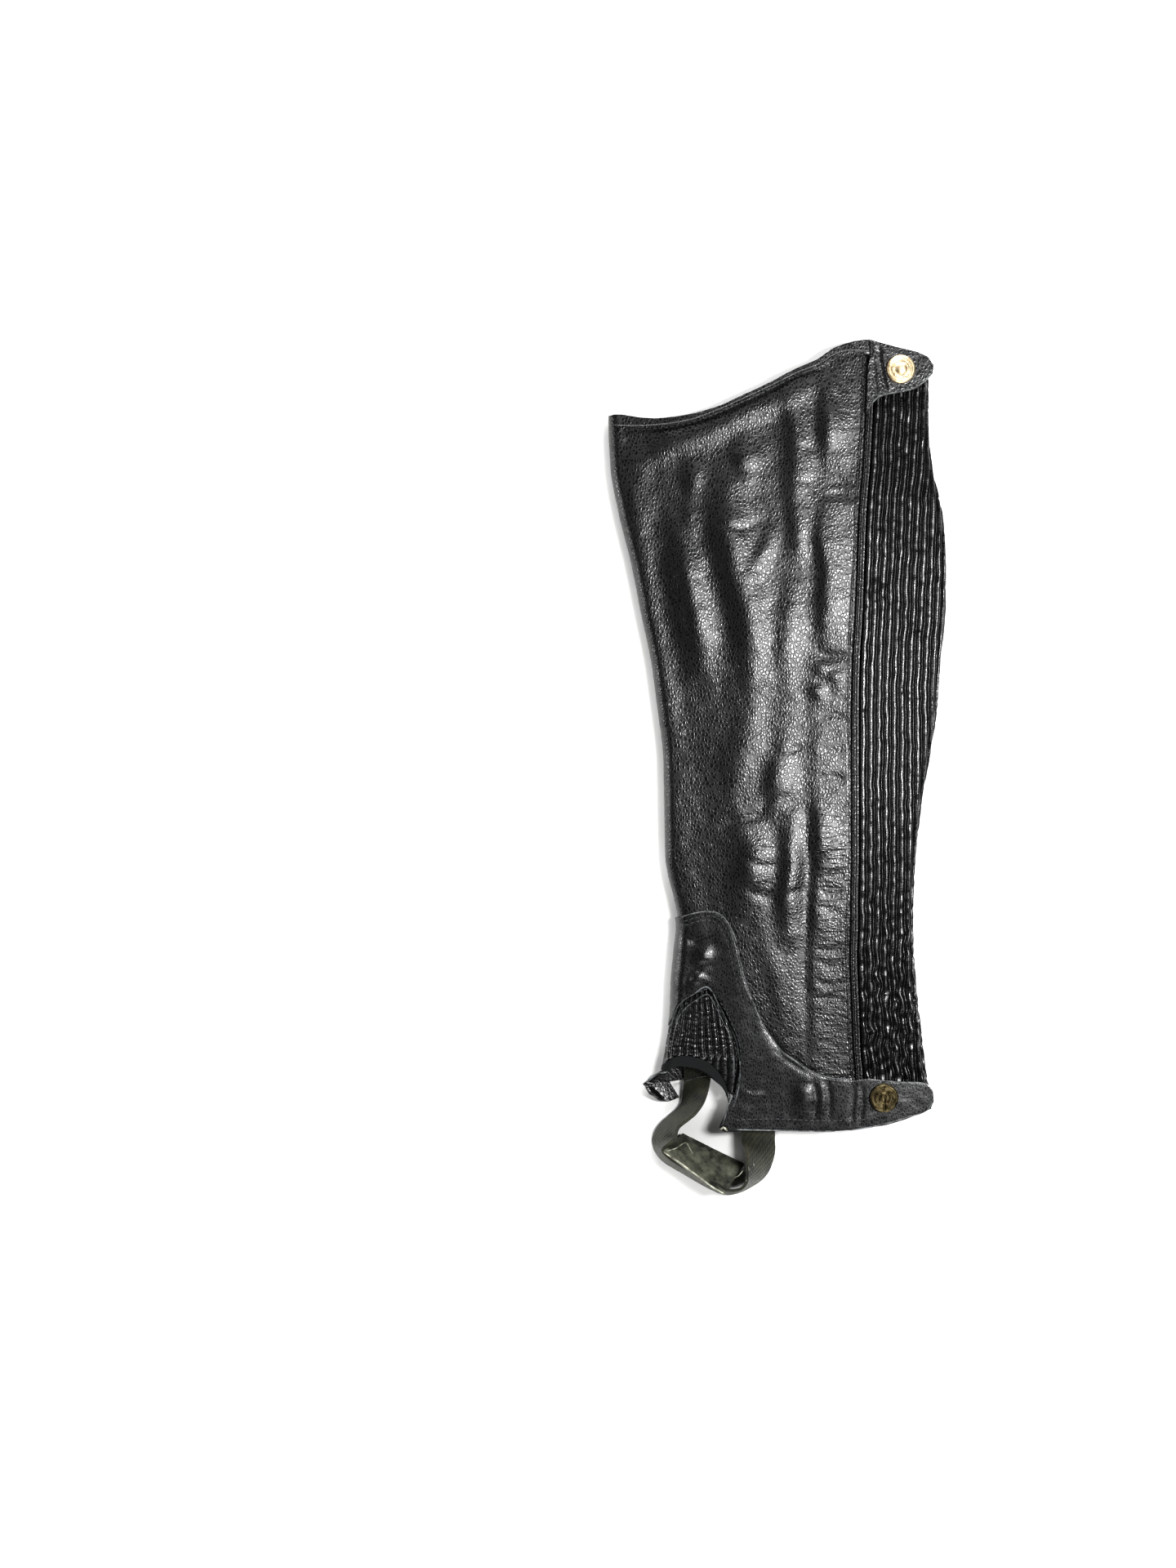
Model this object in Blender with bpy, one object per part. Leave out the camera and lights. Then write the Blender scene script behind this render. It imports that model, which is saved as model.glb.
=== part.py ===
"""Leather half chap laid flat and fastened, modelled piece by piece.

Millimetres are used while shapes are worked out, and metres on the objects.
X runs across the leg from the shin fold to the calf fold, Y runs up the leg,
Z is up from the surface that the half chap lies on.
"""
import math

import bmesh
import bpy
from mathutils import Vector
from mathutils.geometry import delaunay_2d_cdt

MM = 0.001

# Leather, seams and folds
LEATHER_WALL = 1.6
OVERLAY_WALL = 1.4
BINDING_WALL = 1.1
SEAM_GAP = 0.3
LAP_GAP = 0.5
SHIN_FOLD_DEPTH = 5.0
SHIN_FOLD_ARC = 8.5
CALF_FOLD_DEPTH = 4.5
CALF_FOLD_ARC = 7.0

# Zip beside the edge of the main panel
ZIP_WIDTH = 5.6
ZIP_SINK = 1.0
ZIP_WALL = 1.6
ZIP_PIPING_RISE = 0.8

# Shirred elastic panel of the calf
SHIRRED_WIDTH = 62.0
SHIRRED_RIBS = 15
SHIRRED_RIB_DEPTH = 1.2
SHIRRED_WALL = 1.4
SHIRRED_ROWS = 30

# Shirred gusset of the instep
GUSSET_RIB_PITCH = 3.8
GUSSET_RIB_DEPTH = 1.0
GUSSET_LAP = 2.6
GUSSET_CENTRE = -41.0
GUSSET_HEM_BAND = 5.6

# Snap caps
CAP_RADIUS = 7.5
CAP_HEIGHT = 3.0
CAP_SEGMENTS = 28

# Foot strap
STRAP_WALL = 1.8
PAD_WALL = 2.0

# Sections across the leg: how far the tube reaches and how high its top layer lies
# columns: y, shin, zip, calf, height at shin, at middle, at zip, at calf
SECTIONS = [
    (233.0, -89.5, 46.0, 80.0, 10.0, 10.5, 10.5, 9.5),
    (185.5, -89.5, 44.0, 80.0, 10.5, 11.5, 11.5, 10.0),
    (159.5, -88.5, 42.5, 82.0, 11.0, 12.5, 12.0, 10.0),
    (134.0, -84.0, 40.5, 87.5, 11.5, 13.0, 12.5, 10.0),
    (108.0, -77.5, 39.5, 89.5, 11.5, 13.5, 12.5, 10.0),
    (82.5, -72.5, 38.5, 89.0, 11.5, 13.5, 13.0, 10.0),
    (56.5, -67.0, 37.0, 86.5, 11.5, 13.5, 13.0, 10.5),
    (30.5, -63.5, 36.5, 84.5, 11.5, 13.5, 13.0, 10.5),
    (5.0, -60.5, 36.5, 80.5, 11.5, 14.0, 13.0, 10.5),
    (-21.0, -60.0, 36.5, 76.0, 12.0, 14.0, 13.5, 11.0),
    (-46.5, -59.5, 36.5, 73.5, 12.0, 14.5, 13.5, 11.0),
    (-72.5, -54.0, 36.0, 72.0, 12.0, 14.5, 13.5, 11.0),
    (-83.0, -52.0, 36.0, 72.0, 12.0, 14.5, 13.5, 11.0),
    (-98.5, -53.5, 35.5, 72.5, 12.0, 14.5, 13.5, 11.0),
    (-124.0, -56.0, 36.5, 74.5, 12.0, 14.0, 13.5, 11.0),
    (-150.0, -60.0, 37.5, 77.5, 12.0, 13.5, 13.0, 11.0),
    (-162.0, -62.0, 38.5, 79.0, 12.0, 13.0, 13.0, 11.0),
    (-175.5, -62.5, 38.5, 81.5, 12.0, 12.5, 13.0, 11.0),
    (-197.0, -62.5, 38.5, 81.5, 12.0, 12.5, 12.5, 11.0),
]
# How far the inner side's front corner curls out past the shin fold: y, reach
CORNER_CURL = [
    (-159.5, 0.0),
    (-163.5, 5.5),
    (-166.5, 9.2),
    (-171.5, 6.0),
    (-175.5, 1.0),
    (-178.0, 0.0),
]
CORNER_CURL_ROOT = 26.0

# Folds of the top layer: rise above it (below it where negative), half width, course
FOLDS = [
    ("cuff ridge", 1.6, 8.0, [(-50.5, 168.5), (-1.0, 187.5)]),
    ("cuff dip", -1.0, 8.0, [(-65.5, 181.0), (-1.0, 197.5)]),
    ("cuff pit", -1.4, 7.0, [(-76.0, 176.0), (-74.0, 170.5)]),
    ("upper long ridge", 2.2, 7.0, [(10.0, 196.5), (14.0, 129.5)]),
    ("lower long ridge", 1.8, 7.0, [(14.0, 93.0), (7.5, 63.0)]),
    ("calf bump", 1.6, 8.0, [(-13.0, 163.0), (-11.0, 156.5)]),
    ("middle bump", 1.5, 8.0, [(-41.0, 151.0), (-38.5, 146.0)]),
    ("low bump", 1.2, 8.0, [(-20.0, 139.0), (-19.0, 133.0)]),
    ("shin bump", 1.4, 8.0, [(-72.0, 157.5), (-70.5, 152.0)]),
    ("shin ridge", 1.5, 6.0, [(-71.0, 138.0), (-66.0, 91.0)]),
    ("shin trough", -2.6, 6.5, [(-59.0, 140.5), (-51.5, 95.0), (-41.5, 28.5), (-40.0, -38.0)]),
    ("ankle trough", -1.9, 8.0, [(-38.5, -52.0), (-29.0, -96.0), (-22.5, -115.5)]),
    ("second ridge", 2.0, 6.0, [(-46.0, 116.5), (-38.5, 86.5), (-36.0, 48.0)]),
    ("second trough", -2.2, 5.5, [(-35.5, 134.0), (-29.0, 104.0), (-23.5, 71.5), (-19.5, 39.5)]),
    ("third ridge", 2.0, 7.0, [(-22.5, 121.0), (-9.5, 71.5), (-9.5, 24.5), (-17.0, -18.5)]),
    ("branch ridge", 1.0, 6.0, [(-1.0, 114.5), (-6.0, 86.5)]),
    ("ankle bulge", 2.0, 16.0, [(-3.0, -3.5), (-1.5, -66.0)]),
    ("ankle ridge", 1.6, 8.0, [(8.5, -74.5), (6.5, -122.0)]),
    ("shin edge ridge", 1.4, 7.0, [(-50.5, 7.0), (-50.0, -44.5), (-44.0, -66.0), (-39.5, -98.5)]),
    ("placket top swell", 1.0, 6.0, [(30.0, 185.5), (30.0, 159.5)]),
    ("placket middle swell", 1.2, 7.0, [(30.0, 127.5), (29.0, 67.5)]),
    ("placket low swell", 1.0, 6.0, [(29.0, -23.0), (28.5, -89.5)]),
    ("foot swell", 1.0, 6.0, [(28.5, -132.5), (26.0, -180.0)]),
    ("foot dip", -1.4, 9.0, [(-11.5, -141.5), (-7.5, -147.5)]),
]

# Top edge of the main panel, from the zip to the shin fold
TOP_EDGE = [(44.0, 225.0), (40.0, 224.5), (29.0, 221.0), (20.5, 215.0), (9.0, 210.0), (-7.5, 201.5), (-22.5, 194.5),
            (-31.0, 190.5), (-44.0, 186.5), (-57.0, 184.5), (-65.5, 184.0), (-72.5, 184.5), (-82.5, 186.0), (-87.5, 186.0)]
# Lower edge of the inner side of the leg, from the back seam to the front corner
INNER_HEM = [(20.5, -190.5), (-1.0, -186.0), (-20.0, -176.5), (-36.0, -163.0), (-50.0, -166.0), (-50.5, -174.5), (-56.5, -176.5)]
# Pointed arch of the gusset: y, left side, right side
ARCH = [
    (-116.0, -38.0, -37.0),
    (-118.5, -44.5, -35.0),
    (-121.5, -50.0, -32.0),
    (-126.0, -53.5, -29.0),
    (-131.5, -56.0, -26.5),
    (-136.0, -57.5, -24.5),
    (-141.5, -59.0, -22.5),
    (-148.5, -60.0, -20.5),
    (-159.5, -61.5, -21.0),
    (-170.0, -61.5, -23.0),
    (-175.5, -61.5, -25.5),
]
# Lower edge of the gusset's hem band, from the shin fold to the foot piece
GUSSET_HEM = [(-62.5, -163.0), (-59.0, -159.5), (-53.5, -157.0), (-45.5, -157.5), (-39.5, -159.5), (-34.5, -163.0), (-31.0, -166.5), (-28.5, -170.0), (-26.5, -175.5)]
# Foot piece: its upper seam, then the fastening tab, then its hem
FOOT_SEAM = [(-51.5, -78.5), (-43.5, -76.5), (-36.5, -75.5), (-31.5, -77.0), (-27.0, -81.0), (-23.0, -90.5), (-20.0, -104.5), (-16.0, -117.0),
             (-11.0, -129.0), (-7.5, -136.5), (0.5, -147.5), (8.5, -153.5), (17.0, -159.5), (26.0, -163.0), (38.0, -164.0)]
FOOT_TAB = [(47.0, -163.0), (60.0, -164.5), (73.0, -165.0), (78.0, -166.0), (81.0, -169.5), (81.5, -175.0), (80.0, -178.5), (75.5, -181.0),
            (66.5, -184.5), (56.0, -187.5)]
FOOT_HEM = [(42.0, -189.5), (20.5, -191.0), (-1.0, -190.5), (-19.0, -190.5), (-24.0, -191.0), (-29.0, -191.0), (-31.5, -188.5)]
# Fastening tab at the top
TOP_TAB = [(49.0, 219.0), (49.0, 225.0), (60.0, 222.0), (73.0, 219.0), (78.5, 216.5), (81.5, 212.0), (81.0, 207.5), (77.5, 203.5),
           (72.0, 199.5), (64.0, 197.5), (57.5, 196.5), (52.5, 194.5), (48.0, 190.5), (46.0, 186.5), (46.5, 198.5), (47.0, 211.5)]
TOP_CAP = (64.0, 209.5)
FOOT_CAP = (55.0, -173.0)
# Foot strap: outer edge that stands on the floor, then inner edge; x, y, z of each
STRAP = [
    ((-49.5, -156.5, 3.0), (-36.0, -156.0, 5.0)),
    ((-49.5, -166.0, 2.8), (-35.5, -163.5, 6.0)),
    ((-50.0, -172.0, 2.0), (-37.0, -170.0, 9.0)),
    ((-50.5, -177.0, 1.5), (-39.5, -176.0, 12.0)),
    ((-53.0, -181.0, 1.2), (-43.5, -181.0, 15.0)),
    ((-57.0, -184.5, 1.0), (-48.0, -184.5, 17.5)),
    ((-61.5, -188.5, 1.0), (-52.0, -187.5, 18.0)),
    ((-64.5, -192.5, 1.0), (-53.5, -190.5, 17.2)),
    ((-66.0, -196.5, 1.0), (-54.0, -193.5, 16.5)),
    ((-65.5, -200.0, 1.0), (-57.0, -196.5, 16.8)),
    ((-64.0, -203.5, 1.0), (-61.0, -200.0, 17.5)),
    ((-59.5, -208.5, 1.0), (-57.0, -204.5, 18.0)),
    ((-47.0, -216.0, 1.0), (-44.5, -212.0, 18.0)),
    ((-35.5, -222.5, 1.0), (-32.5, -218.0, 18.0)),
    ((-27.5, -225.5, 1.0), (-25.5, -221.0, 18.0)),
    ((-20.5, -224.5, 1.0), (-20.0, -220.0, 18.0)),
    ((-14.0, -221.5, 1.0), (-17.5, -217.0, 17.2)),
    ((-8.0, -217.5, 1.0), (-17.0, -213.5, 16.0)),
    ((-4.0, -212.0, 1.0), (-17.0, -209.0, 14.5)),
    ((-1.5, -203.5, 1.2), (-17.5, -203.0, 12.5)),
    ((-1.5, -197.0, 2.0), (-19.0, -197.0, 10.0)),
    ((-1.5, -190.5, 3.2), (-19.5, -191.0, 8.4)),
    ((-2.0, -181.0, 4.0), (-19.5, -181.0, 7.4)),
]
# Wear pad on the inside of the strap: lower edge, then upper edge
PAD = [
    ((-49.0, -195.0, 1.4), (-56.0, -203.0, 16.2)),
    ((-43.0, -198.5, 1.4), (-49.5, -207.0, 17.0)),
    ((-35.5, -202.5, 1.4), (-41.5, -211.0, 17.2)),
    ((-27.5, -206.0, 1.4), (-34.0, -215.5, 17.2)),
    ((-20.0, -209.5, 1.4), (-25.0, -219.0, 16.6)),
]

MATERIALS = {
    "black_leather": ((0.012, 0.013, 0.014), 0.42, 0.0),
    "black_webbing": ((0.030, 0.031, 0.024), 0.85, 0.0),
    "black_tape": ((0.010, 0.010, 0.011), 0.75, 0.0),
    "worn_vinyl": ((0.060, 0.061, 0.050), 0.50, 0.0),
    "brass": ((0.47, 0.33, 0.17), 0.32, 1.0),
}


def make_material(name):
    colour, roughness, metallic = MATERIALS[name]
    material = bpy.data.materials.get(name) or bpy.data.materials.new(name)
    material.use_nodes = True
    shader = material.node_tree.nodes["Principled BSDF"]
    shader.inputs["Base Color"].default_value = (*colour, 1.0)
    shader.inputs["Roughness"].default_value = roughness
    shader.inputs["Metallic"].default_value = metallic
    material.diffuse_color = (*colour, 1.0)
    return material


def smooth_column(rows, column):
    """Slopes of a monotone curve through one column of a table whose first column falls."""
    y = [row[0] for row in rows]
    f = [row[column] for row in rows]
    chords = [(f[i + 1] - f[i]) / (y[i + 1] - y[i]) for i in range(len(y) - 1)]
    slopes = [chords[0]]
    for left, right in zip(chords, chords[1:]):
        slopes.append(0.0 if left * right <= 0.0 else 2.0 * left * right / (left + right))
    slopes.append(chords[-1])
    return slopes


SECTION_SLOPES = [None] + [smooth_column(SECTIONS, column) for column in range(1, 8)]


def section(y, column):
    """Value of one column of the section table at height y, on a smooth curve."""
    rows = SECTIONS
    y = max(min(y, rows[0][0]), rows[-1][0])
    i = 0
    while i < len(rows) - 2 and y < rows[i + 1][0]:
        i += 1
    step = rows[i + 1][0] - rows[i][0]
    t = (y - rows[i][0]) / step
    slopes = SECTION_SLOPES[column]
    a, b = rows[i][column], rows[i + 1][column]
    ma, mb = slopes[i] * step, slopes[i + 1] * step
    return ((2 * t**3 - 3 * t**2 + 1) * a + (t**3 - 2 * t**2 + t) * ma
            + (-2 * t**3 + 3 * t**2) * b + (t**3 - t**2) * mb)


def segment_distance(x, y, start, end):
    dx, dy = end[0] - start[0], end[1] - start[1]
    length = dx * dx + dy * dy
    t = max(0.0, min(1.0, ((x - start[0]) * dx + (y - start[1]) * dy) / length))
    return math.hypot(x - start[0] - t * dx, y - start[1] - t * dy)


def top_height(x, y):
    """Height of the outer face of the top layer, folds included."""
    shin, zip_edge, calf = section(y, 1), section(y, 2), section(y, 3)
    stations = [shin, shin + 0.45 * (zip_edge - shin), zip_edge, calf]
    heights = [section(y, 4), section(y, 5), section(y, 6), section(y, 7)]
    x = max(min(x, calf), shin)
    i = 0 if x < stations[1] else 1 if x < stations[2] else 2
    t = (x - stations[i]) / (stations[i + 1] - stations[i])
    t = t * t * (3.0 - 2.0 * t)
    height = heights[i] + (heights[i + 1] - heights[i]) * t
    for _, rise, half_width, course in FOLDS:
        distance = min(segment_distance(x, y, a, b) for a, b in zip(course, course[1:]))
        if distance < 3.0 * half_width:
            height += rise * math.exp(-(distance / half_width) ** 2)
    return height


def corner_curl(s, y):
    """Outward shift of the inner side's front corner below the gusset."""
    if s > 3.0 or y > CORNER_CURL[0][0] or y < CORNER_CURL[-1][0]:
        return 0.0
    for (y0, reach0), (y1, reach1) in zip(CORNER_CURL, CORNER_CURL[1:]):
        if y1 <= y <= y0:
            t = (y0 - y) / (y0 - y1)
            reach = reach0 + (reach1 - reach0) * t * t * (3.0 - 2.0 * t)
            break
    fade = max(0.0, min(1.0, 1.0 + (s + SHIN_FOLD_ARC) / CORNER_CURL_ROOT))
    return reach * fade * fade * (3.0 - 2.0 * fade)


def shin_point(s, y):
    """Outer face of the tube at arc distance s from the shin fold, s above 0 on the top layer."""
    centre = section(y, 1) + SHIN_FOLD_DEPTH
    if s <= 3.0:
        centre -= corner_curl(s, y)
    if s >= SHIN_FOLD_ARC:
        x = centre + s - SHIN_FOLD_ARC
        return Vector((x, y, top_height(x, y)))
    if s <= -SHIN_FOLD_ARC:
        return Vector((centre - s - SHIN_FOLD_ARC, y, 0.0))
    angle = math.pi * (SHIN_FOLD_ARC - s) / (2.0 * SHIN_FOLD_ARC)
    height = top_height(centre, y)
    return Vector((centre - SHIN_FOLD_DEPTH * math.sin(angle), y, 0.5 * height * (1.0 + math.cos(angle))))


def calf_point(s, y):
    """Outer face of the tube at arc distance s from the calf fold, s above 0 on the top layer."""
    centre = section(y, 3) - CALF_FOLD_DEPTH
    if s >= CALF_FOLD_ARC:
        x = centre - s + CALF_FOLD_ARC
        return Vector((x, y, top_height(x, y)))
    if s <= -CALF_FOLD_ARC:
        return Vector((centre + s + CALF_FOLD_ARC, y, 0.0))
    angle = math.pi * (CALF_FOLD_ARC - s) / (2.0 * CALF_FOLD_ARC)
    height = top_height(centre, y)
    return Vector((centre + CALF_FOLD_DEPTH * math.sin(angle), y, 0.5 * height * (1.0 + math.cos(angle))))


def outward(point_at, s, y, flip):
    """Unit normal of a mapped face by differences, pointing out of the tube."""
    ds = point_at(s + 0.4, y) - point_at(s - 0.4, y)
    dy = point_at(s, y + 0.6) - point_at(s, y - 0.6)
    normal = ds.cross(dy).normalized()
    return -normal if flip else normal


def shin_offset(s, y, offset):
    return shin_point(s, y) + outward(shin_point, s, y, False) * offset


def calf_offset(s, y, offset):
    return calf_point(s, y) + outward(calf_point, s, y, True) * offset


def shin_arc(x, y):
    """Arc distance on the top layer for a place seen at x from above."""
    across = x - section(y, 1) - SHIN_FOLD_DEPTH
    if across >= 0.0:
        return SHIN_FOLD_ARC + across
    sine = max(0.0, min(1.0, -across / SHIN_FOLD_DEPTH))
    return SHIN_FOLD_ARC - 2.0 * SHIN_FOLD_ARC * math.asin(sine) / math.pi


def under_arc(x, y):
    """Arc distance on the underside for a place at x."""
    return -SHIN_FOLD_ARC - (x - section(y, 1) - SHIN_FOLD_DEPTH)


def shirred_start(y):
    """Arc distance from the calf fold to the seam beside the zip."""
    return section(y, 3) - CALF_FOLD_DEPTH + CALF_FOLD_ARC - section(y, 2) - ZIP_WIDTH - SEAM_GAP


def back_seam(y):
    """Where the shirred panel ends on the underside."""
    return section(y, 3) - CALF_FOLD_DEPTH + CALF_FOLD_ARC + shirred_start(y) - SHIRRED_WIDTH


def resample(points, spacing):
    """Points along a polyline, its corners kept, none further apart than the spacing."""
    result = []
    for a, b in zip(points, points[1:]):
        count = max(1, math.ceil(math.dist(a, b) / spacing))
        result += [(a[0] + (b[0] - a[0]) * i / count, a[1] + (b[1] - a[1]) * i / count) for i in range(count)]
    result.append(points[-1])
    return result


def rounded(points, spacing):
    """Points on a smooth curve through a course."""
    result = []
    n = len(points)
    for i in range(n - 1):
        p0, p1, p2, p3 = points[max(i - 1, 0)], points[i], points[i + 1], points[min(i + 2, n - 1)]
        count = max(1, math.ceil(math.dist(p1, p2) / spacing))
        for k in range(count):
            t = k / count
            result.append(tuple(
                0.5 * (2 * b + (c - a) * t + (2 * a - 5 * b + 4 * c - d) * t * t + (3 * b - a - 3 * c + d) * t**3)
                for a, b, c, d in zip(p0, p1, p2, p3)))
    result.append(tuple(points[-1]))
    return result


def inside(point, outline):
    x, y = point
    hit = False
    for (x0, y0), (x1, y1) in zip(outline, outline[1:] + outline[:1]):
        if (y0 > y) != (y1 > y) and x < (x1 - x0) * (y - y0) / (y1 - y0) + x0:
            hit = not hit
    return hit


def clean_outline(points, least=0.8):
    """Closed outline without points that nearly coincide."""
    result = []
    for point in points:
        if not result or math.dist(point, result[-1]) > least:
            result.append(tuple(point))
    while math.dist(result[0], result[-1]) <= least:
        result.pop()
    return result


def fill_points(outline, candidates, clearance):
    """Those candidates that lie inside an outline and clear of its edge."""
    edges = list(zip(outline, outline[1:] + outline[:1]))
    kept = []
    for point, space in candidates:
        if inside(point, outline) and min(segment_distance(*point, a, b) for a, b in edges) > clearance * space:
            kept.append(point)
    return kept


def new_object(name, mesh, material):
    mesh.materials.append(make_material(material))
    thing = bpy.data.objects.new(name, mesh)
    bpy.context.scene.collection.objects.link(thing)
    return thing


def finish_mesh(name, verts, faces, material, sharp=50.0):
    mesh = bpy.data.meshes.new(name)
    mesh.from_pydata([tuple(c * MM for c in v) for v in verts], [], faces)
    shape = bmesh.new()
    shape.from_mesh(mesh)
    bmesh.ops.triangulate(shape, faces=[f for f in shape.faces if len(f.verts) > 4])
    bmesh.ops.recalc_face_normals(shape, faces=shape.faces)
    shape.to_mesh(mesh)
    shape.free()
    mesh.shade_smooth()
    mesh.set_sharp_from_angle(angle=math.radians(sharp))
    return new_object(name, mesh, material)


def cut_sheet(name, outline, inner_points, outer_at, inner_at, material):
    """Closed wall of a piece cut to an outline on the flat and laid on a curved face."""
    count = len(outline)
    flat = [Vector(p) for p in outline] + [Vector(p) for p in inner_points]
    edges = [(i, (i + 1) % count) for i in range(count)]
    points, _, faces, origin, _, _ = delaunay_2d_cdt(flat, edges, [], 1, 1e-4)
    rim = {sources[0]: i for i, sources in enumerate(origin) if sources and sources[0] < count}
    n = len(points)
    verts = [outer_at(*p) for p in points] + [inner_at(*p) for p in points]
    solid = [tuple(f) for f in faces] + [tuple(reversed([i + n for i in f])) for f in faces]
    for i in range(count):
        a, b = rim[i], rim[(i + 1) % count]
        solid.append((b, a, a + n, b + n))
    return finish_mesh(name, verts, solid, material)


def grid_candidates(s_values, y_low, y_high, step):
    """Rows of points for the flat, staggered where the columns are wide, each with its spacing."""
    result = []
    rows = int((y_high - y_low) / step) + 1
    for column, (s, space) in enumerate(s_values):
        for row in range(rows):
            y = y_low + (row + (0.5 * (column % 2) if space > 4.0 else 0.0)) * step
            result.append(((s, y), space))
    return result


ROW_STEP = 7.6
ROWS_FROM = -197.0


def leather_lattice(low, high):
    """Points of the fold and the top layer that the main panel and what laps it share."""
    fold = [(SHIN_FOLD_ARC * k / 3.0, 2.8) for k in range(-3, 4)]
    top = [(SHIN_FOLD_ARC + 7.2 * i, 7.2) for i in range(1, 21)]
    points = grid_candidates(fold, ROWS_FROM, -109.0, 0.5 * ROW_STEP)
    points += grid_candidates(fold, ROWS_FROM + 12 * ROW_STEP, 233.0, ROW_STEP)
    points += grid_candidates(top, ROWS_FROM, 233.0, ROW_STEP)
    return [point for point in points if low <= point[0][0] <= high]


def steps(low, high, count):
    return [low + (high - low) * i / (count - 1) for i in range(count)]


def arch_sides(grow):
    """Left and right side of the gusset arch on the flat, widened by grow."""
    left, right = [], []
    for y, x_left, x_right in ARCH:
        rise = grow * 1.3 if y > ARCH[2][0] else 0.0
        spread_left = shin_arc(x_left, y) - grow
        if y <= ARCH[5][0]:
            spread_left = -2.0 * (ARCH[5][0] - y) / (ARCH[5][0] - ARCH[-1][0]) - grow
        left.append((spread_left, y + rise))
        right.append((shin_arc(x_right, y) + grow, y + rise))
    return left, right


SHIRRED_HEIGHTS = steps(209.0, -180.0, SHIRRED_ROWS)


def build_main_panel():
    """Body leather: zip edge, top layer, shin fold and inner side in one cut piece."""
    top = [(shin_arc(x, y), y) for x, y in rounded(TOP_EDGE, 8.0)]
    left_y = TOP_EDGE[-1][1]
    fold = [(SHIN_FOLD_ARC * k / 3.0, left_y) for k in (2, 1, 0, -1, -2, -3)]
    under_top = []
    for x, y in rounded(TOP_EDGE, 18.0)[::-1]:
        if x < back_seam(y) - 6.0:
            under_top.append((under_arc(x + 2.0, y - 1.5), y - 1.5))
    seam = [(under_arc(back_seam(y) - SEAM_GAP, y), y) for y in SHIRRED_HEIGHTS]
    hem = [(under_arc(x, y), y) for x, y in INNER_HEM]
    corner = [(-4.0, -176.5), (-1.0, -175.0), (1.5, -172.0), (2.0, -167.0), (0.0, -164.5), (-3.5, -163.0)]
    left, right = arch_sides(GUSSET_LAP + LAP_GAP)
    left = [p for p in left if p[1] > -162.0][::-1]
    right = [p for p in right if p[1] > -175.0]
    low = [(shin_arc(x, y), y) for x, y in [(-26.0, -182.5), (-26.5, -188.5), (-1.0, -189.0), (20.5, -190.0)]]
    zip_low = -188.5
    zip_side = [(shin_arc(section(y, 2), y), y) for y in steps(zip_low, TOP_EDGE[0][1] - 6.0, 44)]
    upper = resample(zip_side + top, 9.5)
    lower = resample(under_top + seam + hem, 22.0)
    arch = resample(left + right, 2.4)
    outline = clean_outline(upper + fold + lower + corner + arch + resample(low, 9.0))
    columns_under = [(-SHIN_FOLD_ARC - 26.0 * i, 24.0) for i in range(1, 7)]
    candidates = leather_lattice(-20.0, 150.0)
    candidates += grid_candidates(columns_under, -197.0, 233.0, 27.0)
    points = fill_points(outline, candidates, 0.45)
    return cut_sheet("main_panel", outline, points, lambda s, y: shin_point(s, y),
                     lambda s, y: shin_offset(s, y, -LEATHER_WALL), "black_leather")


def build_shirred_panel():
    """Elastic panel: raised ribs outside, plain inside, flat where it lies on the surface."""
    pitch = SHIRRED_WIDTH / SHIRRED_RIBS
    outer_cols = [i * pitch / 4.0 for i in range(SHIRRED_RIBS * 4 + 1)]

    def fade(s):
        return max(0.0, min(1.0, (s + 0.62 * CALF_FOLD_ARC) / 3.0))

    chosen = [i for i in range(len(outer_cols)) if i <= 44 or i % 4 == 0]
    inner_chosen = [i for i in chosen if i % 2 == 0]
    verts, outer_index, inner_index = [], {}, {}
    for r, y in enumerate(SHIRRED_HEIGHTS):
        start = shirred_start(y)
        for i in chosen:
            s = start - outer_cols[i]
            valley = SHIRRED_RIB_DEPTH * (0.5 + 0.5 * math.cos(math.tau * outer_cols[i] / pitch)) * fade(s)
            outer_index[r, i] = len(verts)
            verts.append(calf_offset(s, y, -valley))
        for i in inner_chosen:
            s = start - outer_cols[i]
            inner_index[r, i] = len(verts)
            verts.append(calf_offset(s, y, -SHIRRED_WALL - SHIRRED_RIB_DEPTH * fade(s)))
    faces = []
    for r in range(SHIRRED_ROWS - 1):
        for table, chosen_cols, flip in ((outer_index, chosen, False), (inner_index, inner_chosen, True)):
            for a, b in zip(chosen_cols, chosen_cols[1:]):
                face = (table[r, a], table[r, b], table[r + 1, b], table[r + 1, a])
                faces.append(tuple(reversed(face)) if flip else face)
        for end in (chosen[0], chosen[-1]):
            face = (outer_index[r, end], outer_index[r + 1, end], inner_index[r + 1, end], inner_index[r, end])
            faces.append(face if end == chosen[0] else tuple(reversed(face)))
    for r in (0, SHIRRED_ROWS - 1):
        for a, b in zip(inner_chosen, inner_chosen[1:]):
            between = [i for i in chosen if a <= i <= b]
            face = [outer_index[r, i] for i in between] + [inner_index[r, b], inner_index[r, a]]
            faces.append(tuple(face) if r else tuple(reversed(face)))
    return finish_mesh("shirred_panel", verts, faces, "black_leather")


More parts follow.
